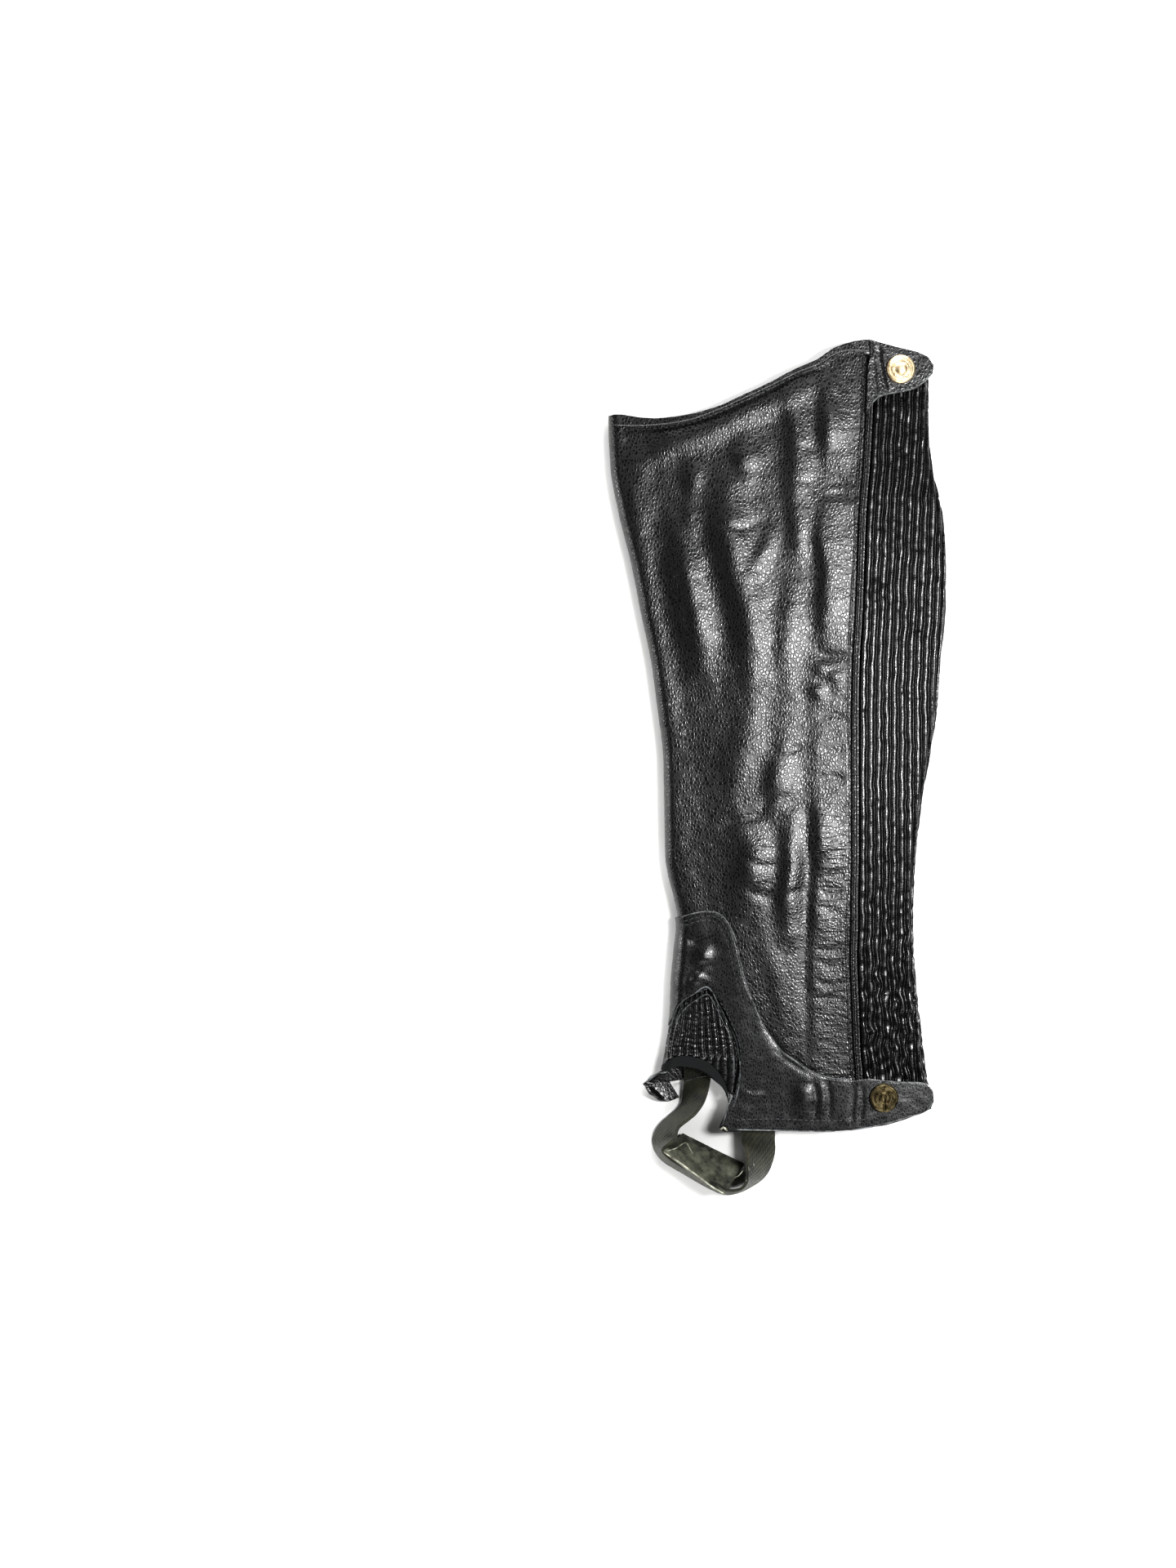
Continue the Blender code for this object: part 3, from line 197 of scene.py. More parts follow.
# Foot strap: outer edge on the floor, then inner edge
STRAP = [
    ((-49.5, -156.5, 3.0), (-36.0, -156.0, 5.0)),
    ((-49.5, -166.0, 2.8), (-35.5, -163.5, 6.0)),
    ((-50.0, -172.0, 2.0), (-37.0, -170.0, 9.0)),
    ((-50.5, -177.0, 1.5), (-39.5, -176.0, 12.0)),
    ((-53.0, -181.0, 1.2), (-43.5, -181.0, 15.0)),
    ((-57.0, -184.5, 1.0), (-48.0, -184.5, 17.5)),
    ((-61.5, -188.5, 1.0), (-52.0, -187.5, 18.0)),
    ((-64.5, -192.5, 1.0), (-53.5, -190.5, 17.2)),
    ((-66.0, -196.5, 1.0), (-54.0, -193.5, 16.5)),
    ((-65.5, -200.0, 1.0), (-57.0, -196.5, 16.8)),
    ((-64.0, -203.5, 1.0), (-61.0, -200.0, 17.5)),
    ((-59.5, -208.5, 1.0), (-57.0, -204.5, 18.0)),
    ((-47.0, -216.0, 1.0), (-44.5, -212.0, 18.0)),
    ((-35.5, -222.5, 1.0), (-32.5, -218.0, 18.0)),
    ((-27.5, -225.5, 1.0), (-25.5, -221.0, 18.0)),
    ((-20.5, -224.5, 1.0), (-20.0, -220.0, 18.0)),
    ((-14.0, -221.5, 1.0), (-17.5, -217.0, 17.2)),
    ((-8.0, -217.5, 1.0), (-17.0, -213.5, 16.0)),
    ((-4.0, -212.0, 1.0), (-17.0, -209.0, 14.5)),
    ((-1.5, -203.5, 1.2), (-17.5, -203.0, 12.5)),
    ((-1.5, -197.0, 2.0), (-19.0, -197.0, 10.0)),
    ((-1.5, -190.5, 3.2), (-19.5, -191.0, 8.4)),
    ((-2.0, -181.0, 4.0), (-19.5, -181.0, 7.4)),
]
# The wear pad as it shows, over the webbing's upper edge
PAD = [
    ((-50.5, -193.8, 1.8), (-61.0, -200.5, 18.4)),
    ((-43.0, -197.5, 1.8), (-53.0, -206.5, 19.2)),
    ((-34.0, -202.0, 1.8), (-44.5, -212.8, 19.3)),
    ((-25.0, -206.3, 1.8), (-36.0, -219.0, 19.3)),
    ((-17.5, -209.8, 1.8), (-28.8, -223.4, 18.6)),
]

# Courses of the sewing, seen from above
SEWING = {
    "top band": [(-87.7, 178.2), (-72.7, 178.2), (-56.8, 179.5), (-43.9, 182.1), (-31.0, 186.8), (-22.4, 190.7),
        (-7.3, 197.6), (9.0, 205.8), (20.6, 210.5), (29.2, 215.2), (36.1, 218.2), (48.2, 219.1)],
    "top band end": [(48.2, 219.1), (48.2, 224.7)],
    "tab edge": [(48.2, 192.9), (52.5, 196.7), (57.6, 198.4), (64.1, 199.7), (71.0, 201.9), (76.5, 205.3),
        (79.1, 208.8), (80.0, 212.2), (77.0, 215.2), (72.2, 217.4), (59.8, 219.9), (49.9, 223.0)],
    "foot seam": [(-50.3, -80.6), (-43.4, -78.5), (-36.5, -77.6), (-32.2, -78.9), (-28.8, -82.8), (-24.9, -91.4),
        (-21.9, -105.1), (-18.1, -118.0), (-13.3, -130.5), (-9.0, -138.2), (-1.3, -149.4), (7.3, -155.4),
        (15.9, -161.0), (25.8, -164.9), (37.8, -166.2)],
    "foot seam inner": [(-49.9, -82.8), (-43.4, -80.6), (-36.5, -79.8), (-33.1, -81.1), (-30.5, -84.5),
        (-27.1, -92.2), (-24.1, -105.6), (-20.2, -118.9), (-15.5, -131.8), (-11.2, -139.5), (-3.0, -151.1),
        (6.0, -157.2), (15.0, -162.8), (25.4, -166.6)],
    "hem": [(-23.2, -184.7), (-9.5, -184.3), (3.4, -184.3), (20.6, -185.1), (37.8, -184.7), (47.3, -184.3)],
    "foot tab": [(47.3, -165.8), (59.3, -166.6), (72.2, -167.1), (77.0, -168.8), (79.5, -173.5), (77.8, -177.4),
        (73.1, -180.0), (63.6, -182.5), (55.0, -185.1), (49.0, -186.8)],
    "arch": [(-55.0, -135.2), (-52.9, -129.6), (-49.9, -124.9), (-44.7, -121.0), (-37.8, -118.5), (-34.4, -122.3),
        (-30.5, -127.9), (-27.1, -135.2), (-24.1, -142.1), (-22.4, -149.0), (-22.8, -159.7), (-24.9, -170.1),
        (-26.7, -175.7)],
    "arch outer": [(-56.8, -132.7), (-54.2, -127.5), (-50.3, -122.8), (-44.7, -118.9), (-37.4, -115.9),
        (-33.1, -120.2), (-28.8, -126.2), (-24.9, -133.9), (-21.9, -141.3), (-20.2, -148.6), (-20.6, -159.7),
        (-22.8, -170.5), (-24.9, -176.5)],
}

# The placket's edge along the zip
ZIP_EDGE = [(43.6, 184.7), (42.1, 164.0), (40.4, 138.2), (39.6, 112.4), (38.3, 95.2), (37.0, 67.7), (36.3, 30.7),
        (36.8, -8.0), (36.5, -51.0), (35.3, -94.0), (36.1, -119.8), (37.0, -145.6), (38.3, -161.9)]

# Rounded edges that catch the light: thickness, colour of the rubbed dye (on the grey and leather beads also a painted
# highlight line), course
EDGES = [
    (0.50, "worn", [(-51.6, -78.5), (-43.4, -76.3), (-36.5, -75.5), (-31.4, -76.8), (-27.1, -81.1), (-22.8, -90.5),
        (-19.8, -104.7), (-15.9, -117.2), (-11.2, -129.2), (-7.3, -136.5), (0.4, -147.7), (8.6, -153.7),
        (16.8, -159.3), (26.2, -162.8), (37.8, -164.0)]),
    (0.38, "worn", [(-56.8, -137.8), (-54.2, -127.5), (-50.3, -122.3), (-44.7, -118.5), (-37.4, -115.0),
        (-31.0, -125.3), (-26.7, -133.9), (-22.4, -143.0), (-20.6, -154.2), (-21.1, -167.1), (-24.1, -178.2)]),
    (0.30, "worn", [(-55.0, -139.5), (-52.5, -130.9), (-49.0, -126.2), (-43.9, -122.3), (-37.4, -118.9),
        (-33.5, -124.9), (-29.7, -132.7), (-25.4, -142.1), (-23.6, -154.2), (-24.1, -167.1), (-26.7, -176.5)]),
    (0.60, "leather", [(44.7, 217.4), (43.9, 198.4), *ZIP_EDGE]),
    (0.40, "leather", [(-87.7, 180.4), (-72.7, 180.0), (-56.8, 181.2), (-43.9, 183.8), (-31.0, 188.6),
        (-22.4, 192.4), (-7.3, 199.3), (9.0, 207.5), (20.6, 212.2), (29.2, 217.4), (35.7, 219.5), (45.1, 219.5),
        (48.2, 219.1)]),
    (1.05, "leather", [(48.7, 216.5), (48.7, 225.5)]),
    (0.45, "worn", [(-69.7, -166.2), (-63.6, -161.9), (-57.6, -159.3), (-52.5, -157.6)]),
    (0.35, "worn", [(-49.9, -166.2), (-43.0, -163.6), (-37.0, -162.3)]),
    (0.50, "pale", [(-31.0, -190.3), (-29.2, -188.6), (-26.7, -191.1)]),
    (0.40, "pale", [(-60.6, -201.0), (-52.5, -206.2), (-43.9, -212.6), (-35.7, -218.7), (-29.2, -222.5)]),
    (0.32, "pale", [(-59.3, -200.6), (-54.2, -199.7), (-49.0, -197.6), (-46.9, -200.2), (-45.1, -203.2)]),
    (0.20, "pale", [(-16.3, -208.8), (-15.5, -211.8)]),
    (0.20, "pale", [(-13.3, -207.5), (-12.9, -210.1)]),
    (0.20, "pale", [(-18.1, -214.8), (-16.8, -216.9)]),
    (0.30, "pale", [(-23.6, -216.1), (-21.1, -214.4), (-18.5, -211.3)]),
    (0.24, "worn", ZIP_EDGE),
    (0.38, "worn", [(46.9, 186.8), (48.6, 191.1), (52.5, 195.0), (57.6, 196.7), (64.1, 198.0), (71.8, 200.2),
        (77.4, 204.0), (80.4, 207.9), (81.3, 211.8)]),
    (0.35, "worn", [(46.9, -163.6), (60.2, -164.9), (73.1, -165.3), (77.4, -166.2)]),
    (0.35, "worn", [(-22.4, -189.8), (3.4, -190.3), (24.9, -190.7), (42.1, -189.4), (55.9, -186.8), (66.6, -183.8),
        (77.0, -180.4), (80.8, -175.7)]),
    (0.45, "worn", [(-29.7, -187.7), (-28.0, -182.1), (-26.2, -176.5)]),
]


def linear(hex_colour):
    """sRGB hex to the linear colour that shaders take."""
    parts = [int(hex_colour[i:i + 2], 16) / 255.0 for i in (1, 3, 5)]
    return (*[c / 12.92 if c <= 0.04045 else ((c + 0.055) / 1.055) ** 2.4 for c in parts], 1.0)


def feed(tree, node, **inputs):
    """Gives inputs a value, a socket or a node's first output; i0, i1 and so on name an input by its number."""
    for key, value in inputs.items():
        socket = node.inputs[int(key[1:]) if key[1:].isdigit() else key.replace("_", " ")]
        if isinstance(value, bpy.types.Node):
            value = value.outputs[0]
        if isinstance(value, bpy.types.NodeSocket):
            tree.links.new(value, socket)
        else:
            socket.default_value = value


def add(tree, kind, settings=None, **inputs):
    """Adds a node with its settings and inputs; stops are the places and colours of a colour ramp."""
    made = tree.nodes.new(kind)
    for key, value in (settings or {}).items():
        if key == "stops":
            for stop, (position, colour) in zip(made.color_ramp.elements, value):
                stop.position = position
                stop.color = linear(colour) if isinstance(colour, str) else colour
        else:
            setattr(made, key, value)
    feed(tree, made, **inputs)
    return made


def new_material(name):
    material = bpy.data.materials.new(name)
    material.use_nodes = True
    tree = material.node_tree
    return material, tree, tree.nodes["Principled BSDF"]


# ---------------------------------------------------------------- surface
def monotone(column, at):
    """Smooth values of a column of the sections at places along the leg, without overshoot."""
    y, f = np.array([(row[0], row[column]) for row in SECTIONS]).T
    steps = np.diff(y)
    chords = np.diff(f) / steps
    pairs = chords[:-1] * chords[1:]
    sums = np.where(pairs > 0.0, chords[:-1] + chords[1:], 1.0)
    slopes = np.concatenate((chords[:1], np.where(pairs > 0.0, 2.0 * pairs / sums, 0.0), chords[-1:]))
    i = np.clip(np.searchsorted(-y, -at) - 1, 0, len(steps) - 1)
    step, t = steps[i], (at - y[i]) / steps[i]
    return ((2 * t**3 - 3 * t**2 + 1) * f[i] + (t**3 - 2 * t**2 + t) * slopes[i] * step
            + (-2 * t**3 + 3 * t**2) * f[i + 1] + (t**3 - t**2) * slopes[i + 1] * step)


CURVE_Y = np.linspace(SECTIONS[-1][0], SECTIONS[0][0], 900)
CURVES = [None] + [monotone(column, CURVE_Y) for column in range(1, 8)]


def section(y, column):
    """A column of the sections along the leg: shin, zip edge and calf, then the heights over them."""
    return np.interp(y, CURVE_Y, CURVES[column])


def course_distance(x, y, course):
    """Distance of each point from a course, how far to its side, and how far along it from the nearer end."""
    best = np.full(np.shape(x), 1e9)
    side, run = np.zeros(np.shape(x)), np.zeros(np.shape(x))
    start = 0.0
    for (ax, ay), (bx, by) in zip(course, course[1:]):
        dx, dy = bx - ax, by - ay
        length = math.hypot(dx, dy)
        t = np.clip(((x - ax) * dx + (y - ay) * dy) / length**2, 0.0, 1.0)
        here = np.hypot(x - ax - t * dx, y - ay - t * dy)
        nearer = here < best
        best = np.where(nearer, here, best)
        side = np.where(nearer, (dx * (y - ay) - dy * (x - ax)) / length, side)
        run = np.where(nearer, start + t * length, run)
        start += length
    return best, side, np.minimum(run, start - run)


def plain_height(x, y):
    """Height of the top layer's outer face from the sections alone."""
    shin, zip_edge, calf = section(y, 1), section(y, 2), section(y, 3)
    stations = [shin, shin + 0.45 * (zip_edge - shin), zip_edge, calf]
    heights = [section(y, c) for c in (4, 5, 6, 7)]
    x = np.clip(x, shin, calf)
    result = np.zeros(np.shape(x))
    for i in range(3):
        t = np.clip((x - stations[i]) / (stations[i + 1] - stations[i]), 0.0, 1.0)
        t = t * t * (3.0 - 2.0 * t)
        here = (x >= stations[i]) if i else np.ones(np.shape(x), bool)
        result = np.where(here, heights[i] + (heights[i + 1] - heights[i]) * t, result)
    return result


def drawn_height(x, y):
    """Height of the top layer as the part's solids have it."""
    result = plain_height(x, y)
    for _, rise, half_width, course in FOLDS:
        distance = course_distance(x, y, course)[0]
        result = result + np.where(distance < 3.0 * half_width, rise * np.exp(-(distance / half_width) ** 2), 0.0)
    return result


def ridging(x, y):
    """Rise of the ridges over the plain sections: each is a little narrower and higher than its row says."""
    result = np.zeros(np.shape(x))
    for rise, left, right, course in RIDGES:
        distance, side, end = course_distance(x, y, course)
        # the width changes smoothly from the left flank to the right one round the ends
        share = 0.5 + 0.5 * np.clip(side / np.maximum(distance, 1e-6), -1.0, 1.0)
        width = 0.74 * (left + (right - left) * share)
        length = sum(math.dist(a, b) for a, b in zip(course, course[1:]))
        swell = np.clip(end / min(0.4 * length, RIDGE_END), 0.0, 1.0)
        swell = 0.6 + 0.8 * swell * swell * (3.0 - 2.0 * swell)
        result += 1.08 * rise * swell * np.exp(-(distance / width) ** 2)
    return result


def height(x, y):
    """Height of the dressed top layer's outer face; the ridges fade out towards the shin fold."""
    edge = np.clip((x - section(y, 1)) / 8.0, 0.0, 1.0)
    return plain_height(x, y) + (ridging(x, y) - TROUGH) * edge


def smooth_course(points, spacing):
    """Points on a smooth curve through a course; the first three numbers of a point are its place."""
    result = []
    n = len(points)
    for i in range(n - 1):
        near = [points[max(i - 1, 0)], points[i], points[i + 1], points[min(i + 2, n - 1)]]
        count = max(1, math.ceil(math.dist(near[1][:3], near[2][:3]) / spacing))
        for k in range(count):
            t = k / count
            result.append(tuple(
                0.5 * (2 * b + (c - a) * t + (2 * a - 5 * b + 4 * c - d) * t * t + (3 * b - a - 3 * c + d) * t**3)
                for a, b, c, d in zip(*near)))
    result.append(tuple(points[-1]))
    return result


CREASE_COURSES = [(rise, half_width, smooth_course(course, 6.0)) for rise, half_width, course in CREASES]


def creasing(x, y):
    """Fine creases of the leather, softly tapered at their ends."""
    result = np.zeros(np.shape(x))
    for rise, half_width, course in CREASE_COURSES:
        distance, _, end = course_distance(x, y, course)
        taper = np.clip(end / (3.0 * half_width), 0.0, 1.0)
        result += rise * (0.25 + 0.75 * taper) * np.exp(-(distance / half_width) ** 2)
    return result


def ripple(a, b, seed, scale):
    """Smooth uneven field from crossed waves; scale is its usual wavelength in millimetres."""
    total = np.zeros(np.shape(a))
    for k in range(5):
        angle = seed * 1.7 + k * 2.399
        wave = math.tau / (scale * (0.7 + 0.23 * k))
        bend = 0.9 * np.sin((b * math.cos(angle) - a * math.sin(angle)) * wave * 0.61 + seed * 3.1 + k)
        total = total + np.sin((a * math.cos(angle) + b * math.sin(angle)) * wave + seed * 7.3 + k * 1.9 + bend)
    return total / 5.0


def place(name, mesh, material, slot, *nodes):
    """Links a finished mesh that is already in its place."""
    thing = bpy.data.objects.new(name, mesh)
    bpy.context.scene.collection.objects.link(thing)
    mesh.materials.clear()
    mesh.materials.append(material)
    mesh.shade_smooth()
    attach(thing, "root")
    if nodes:
        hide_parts(*nodes)
    return thing


def node_copy(node):
    """The CAD node's mesh with its doubles merged, in the tables' millimetres."""
    shape = bmesh.new()
    shape.from_mesh(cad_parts[node].data)
    bmesh.ops.remove_doubles(shape, verts=shape.verts, dist=1e-6)
    for v in shape.verts:
        v.co = Vector(np.array(v.co) / MM - PLACE)
    return shape


def refine(shape, limit, wanted, split, rounds=4):
    """Marks the outer points, offset from the surface by more than split, then halves the wanted faces' long edges."""
    x, y, z = coordinates(shape).T
    centre = section(y, 1) + SHIN_DEPTH
    half = 0.5 * drawn_height(centre, y)
    reach = np.hypot((centre - x) / SHIN_DEPTH, (z - half) / half)
    fold = (reach - 1.0) * 0.5 * (SHIN_DEPTH + half)
    outside = np.where(x >= centre, (z - drawn_height(x, y) > split) & (z > TOP_LAYER), (fold > split) & (reach > 0.3))
    layer = shape.verts.layers.float.new("outside")
    for v, value in zip(shape.verts, outside):
        v[layer] = float(value)
    for _ in range(rounds):
        shape.normal_update()
        faces = {f for f in shape.faces if wanted(f)}
        edges = [e for e in shape.edges if e.calc_length() > limit and any(f in faces for f in e.link_faces)]
        if not edges:
            break
        bmesh.ops.subdivide_edges(shape, edges=edges, cuts=1)
        bmesh.ops.triangulate(shape, faces=[f for f in shape.faces if len(f.verts) > 4])


def coordinates(shape):
    return np.array([v.co[:] for v in shape.verts])


def set_coordinates(shape, points):
    for v, p in zip(shape.verts, points):
        v.co = p


def to_mesh(shape, name):
    """Mesh in the part's metres from a shape in the tables' millimetres."""
    for v in shape.verts:
        v.co = Vector((np.array(v.co) + PLACE) * MM)
    shape.normal_update()
    mesh = bpy.data.meshes.new(name)
    shape.to_mesh(mesh)
    shape.free()
    return mesh


def settle(shape, outer, extra):
    """Points of a piece moved from the drawn surface to the dressed one, its outer points onto it, creases included.

    outer is the piece's outer offset from the surface, and extra a function of x, y and arc distance that adds to it.
    """
    points = coordinates(shape)
    layer = shape.verts.layers.float["outside"]
    outside = np.array([v[layer] for v in shape.verts]) > 0.75
    x, y, z = points.T.copy()
    centre = section(y, 1) + SHIN_DEPTH
    drawn, surface = drawn_height(x, y), height(x, y)
    result = points.copy()
    share = np.clip((z - 3.0) / 3.0, 0.0, 1.0)
    result[:, 2] = np.where(x >= centre, z + share * (surface - drawn), z)
    on_top = (x >= centre) & outside & (z > TOP_LAYER)
    rise = outer + extra(x, y, SHIN_ARC + x - centre)
    result[on_top, 2] = (surface + rise)[on_top]
    half, new_half = 0.5 * drawn_height(centre, y), 0.5 * height(centre, y)
    across, up = (centre - x) / SHIN_DEPTH, (z - half) / half
    result[:, 2] = np.where(x < centre, z * new_half / half, result[:, 2])
    reach = np.hypot(across, up)
    rolled_corner = (y < ROLLED_FROM) & (up < 0.35)
    on_fold = (x < centre) & outside & ~rolled_corner & (reach > 0.3)
    fold_arc = SHIN_ARC - 2.0 * SHIN_ARC * np.arctan2(across, up) / math.pi
    fold_rise = outer + extra(x, y, fold_arc) * np.clip((fold_arc + SHIN_ARC) / SHIN_ARC, 0.0, 1.0)
    reach = np.maximum(reach, 1e-6)
    result[on_fold, 0] = (centre - (across / reach) * (SHIN_DEPTH + fold_rise))[on_fold]
    result[on_fold, 2] = (new_half + (up / reach) * (new_half + fold_rise))[on_fold]
    return result


def worn(mesh, rub_and_painted_light=None, pucker=0.0):
    """Stores for the leather how far each point is rubbed, high places more than low ones, and how far puckered; the
    rub also lightens the colour on high places and darkens it in low ones, partly as painted highlight and painted
    shade.
    """
    places = np.array([v.co[:] for v in mesh.vertices]) / MM - PLACE
    if rub_and_painted_light is None:
        x, y, z = places.T
        # Painted highlight and painted shade, partly real wear: the colour is lighter on ridges and darker in crease
        # troughs
        rub_and_painted_light = 0.42 + 0.42 * (ridging(x, y) - TROUGH) + 0.5 * creasing(x, y)
        # Painted shade: the lower layer under the top one gets a low rub and so a darker colour
        rub_and_painted_light = np.where(z > TOP_LAYER, rub_and_painted_light, 0.2)
    for name, values in (("wear", rub_and_painted_light), ("pucker", pucker)):
        layer = mesh.attributes.new(name, "FLOAT", "POINT")
        layer.data.foreach_set("value", np.broadcast_to(np.clip(values, 0.0, 1.0), len(places)).astype(np.float32))


def soften(thing, width):
    """Rounds the cut edges."""
    edge = thing.modifiers.new("edge", "BEVEL")
    edge.width = width * MM
    edge.segments = 2
    edge.limit_method = "ANGLE"
    edge.angle_limit = math.radians(50.0)


def thicken(thing, thickness, offset=-1.0):
    """Gives a single face its wall."""
    wall = thing.modifiers.new("wall", "SOLIDIFY")
    wall.thickness = thickness * MM
    wall.offset = offset


DRESSED = []


def keep_for_sewing(thing):
    """Remembers a piece's evaluated surface, so that sewing can be set on it."""
    DRESSED.append(BVHTree.FromObject(thing, bpy.context.evaluated_depsgraph_get()))


def on_surface(x, y):
    """Highest dressed point under x, y in millimetres, with its normal."""
    start = Vector((np.array((x, y, 60.0)) + PLACE) * MM)
    best = None
    for tree in DRESSED:
        spot, normal, _, _ = tree.ray_cast(start, Vector((0.0, 0.0, -1.0)))
        if spot is not None and (best is None or spot.z > best[0].z):
            best = (spot, normal)
    if best is None:
        return Vector(((x + PLACE[0]) * MM, (y + PLACE[1]) * MM, 0.012)), Vector((0.0, 0.0, 1.0))
    return best


# ---------------------------------------------------------------- materials
# Leathers: squeeze of the grain along x, y and z, share of the full relief, roughness where rubbed, specular level
LEATHERS = {
    "pebbled_leather": ((1.0, 0.75, 1.0), 1.0, 0.25, 1.0),
    "shirred_leather": ((0.8, 1.25, 1.0), 0.14, 0.20, 0.8),
    "foot_leather": ((1.5, 0.72, 1.5), 0.4, 0.25, 1.0),
}
# Rubbed surfaces: scale, detail and roughness of the mottling, dark and light stop, roughness, strength of relief
RUBBED = {
    # cut edge of the leather, its dye rubbed to grey and made paler still as a painted highlight line along the edge
    "rubbed_edge_with_painted_highlight": (240.0, 4.0, 0.7, (0.36, "#191a1b"), (0.70, "#7c7f81"), 0.4, 0.0),
    # raw edge of the coated pad, worn through to its pale backing
    "worn_pale_edge": (420.0, 4.0, 0.5, (0.30, "#4c4d42"), (0.62, "#b5b5a6"), 0.7, 0.0),
    # vinyl-coated pad, rubbed grey-olive and smooth, darker in its low places
    "rubbed_vinyl_pad": (140.0, 6.0, 0.65, (0.36, "#191a14"), (0.70, "#66675b"), 0.42, 0.35),
}
SHARED = {}


def shared(maker, *names):
    """One material of each kind, made when it is first asked for."""
    key = (maker.__name__, *names)
    if key not in SHARED:
        SHARED[key] = maker(*names)
    return SHARED[key]


def leather_material(name):
    """Full-grain cow leather, drum dyed black: a pebbled grain whose cells stretch along the folds.

    The grain's rounded cells catch small lights, its valleys are painted darker as painted shade, rubbed places shine
    and flexed ones pucker.
    """
    props = bpy.context.scene.half_chap_leather
    squeeze, relief_share, polish, shine = LEATHERS[name]
    material, tree, shader = new_material(name)
    where = add(tree, "ShaderNodeTexCoord").outputs["Object"]
    bend = add(tree, "ShaderNodeTexNoise", Vector=where, Scale=520.0, Detail=1.0)
    shifted = add(tree, "ShaderNodeVectorMath", {"operation": "MULTIPLY_ADD"}, i0=bend.outputs["Color"],
                  i1=(0.0012, 0.0012, 0.0012), i2=where)
    squeezed = add(tree, "ShaderNodeMapping", Vector=shifted, Scale=squeeze)
    cells = add(tree, "ShaderNodeTexVoronoi", {"feature": "DISTANCE_TO_EDGE"}, Vector=squeezed,
                Scale=1.0 / props.grain_size)
    tops = add(tree, "ShaderNodeMapRange", {"interpolation_type": "SMOOTHSTEP"}, Value=cells, From_Max=0.31)
    pores = add(tree, "ShaderNodeTexNoise", Vector=where, Scale=1000.0 / 0.7, Detail=3.0)
    relief = add(tree, "ShaderNodeMath", {"operation": "MULTIPLY_ADD"}, i0=pores, i1=0.2, i2=tops)
    bump = add(tree, "ShaderNodeBump", Strength=props.grain_strength * relief_share, Distance=props.grain_depth,
               Height=relief)
    pleats = add(tree, "ShaderNodeMapping", Vector=where, Scale=(0.2, 1.0, 1.0))
    pleat = add(tree, "ShaderNodeTexNoise", Vector=pleats, Scale=520.0, Detail=2.0)
    flexed = add(tree, "ShaderNodeAttribute", {"attribute_name": "pucker"})
    pucker = add(tree, "ShaderNodeBump", Strength=flexed.outputs["Fac"], Distance=0.0004, Height=pleat, Normal=bump)
    patches = add(tree, "ShaderNodeTexNoise", Vector=where, Scale=28.0, Detail=4.0, Roughness=0.6)
    wear = add(tree, "ShaderNodeAttribute", {"attribute_name": "wear"})
    rubbed = add(tree, "ShaderNodeMath", {"operation": "MULTIPLY_ADD", "use_clamp": True}, i0=patches, i1=0.5,
                 i2=wear.outputs["Fac"])
    # The rub stored on the mesh lightens the colour on crests and ridges and darkens it in grooves and creases: partly
    # real wear, partly painted highlight and painted shade
    tone = add(tree, "ShaderNodeValToRGB", {"stops": ((0.25, props.leather_dark), (1.0, props.leather_light))},
               Fac=rubbed)
    # Painted shade: the grain's valleys are darkened in the colour itself
    painted_valley_shade = add(tree, "ShaderNodeValToRGB", {"stops": ((0.0, "#303030"), (0.6, "#ffffff"))}, Fac=tops)
    colour = add(tree, "ShaderNodeMix", {"data_type": "RGBA", "blend_type": "MULTIPLY"}, i0=1.0, i6=tone, i7=painted_valley_shade)
    matt = add(tree, "ShaderNodeMapRange", Value=rubbed, From_Min=0.3, To_Min=0.28, To_Max=polish)
    deep = add(tree, "ShaderNodeMapRange", Value=tops, From_Max=0.8, To_Min=0.18, To_Max=0.0)
    both = add(tree, "ShaderNodeMath", {"operation": "ADD"}, i0=matt, i1=deep)
    feed(tree, shader, Normal=pucker, Base_Color=colour.outputs[2], Roughness=both, Specular_IOR_Level=shine, IOR=1.5)
    return material


def tape_material():
    """Polyester zip tape and hem band, woven: matt black with a fine cross rib."""
    material, tree, shader = new_material("woven_polyester_tape")
    where = add(tree, "ShaderNodeTexCoord").outputs["Object"]
    ribs = add(tree, "ShaderNodeTexWave", {"bands_direction": "Y"}, Vector=where, Scale=314.0 / 0.9, Distortion=1.5)
    bump = add(tree, "ShaderNodeBump", Strength=0.5, Distance=0.00012, Height=ribs.outputs["Fac"])
    feed(tree, shader, Normal=bump, Base_Color=linear("#141617"), Roughness=0.75, Specular_IOR_Level=0.3)
    return material


def thread_material():
    """Bonded nylon thread, black and slightly glossy."""
    material, tree, shader = new_material("bonded_nylon_thread")
    feed(tree, shader, Base_Color=linear("#3a3c3f"), Roughness=0.38)
    return material


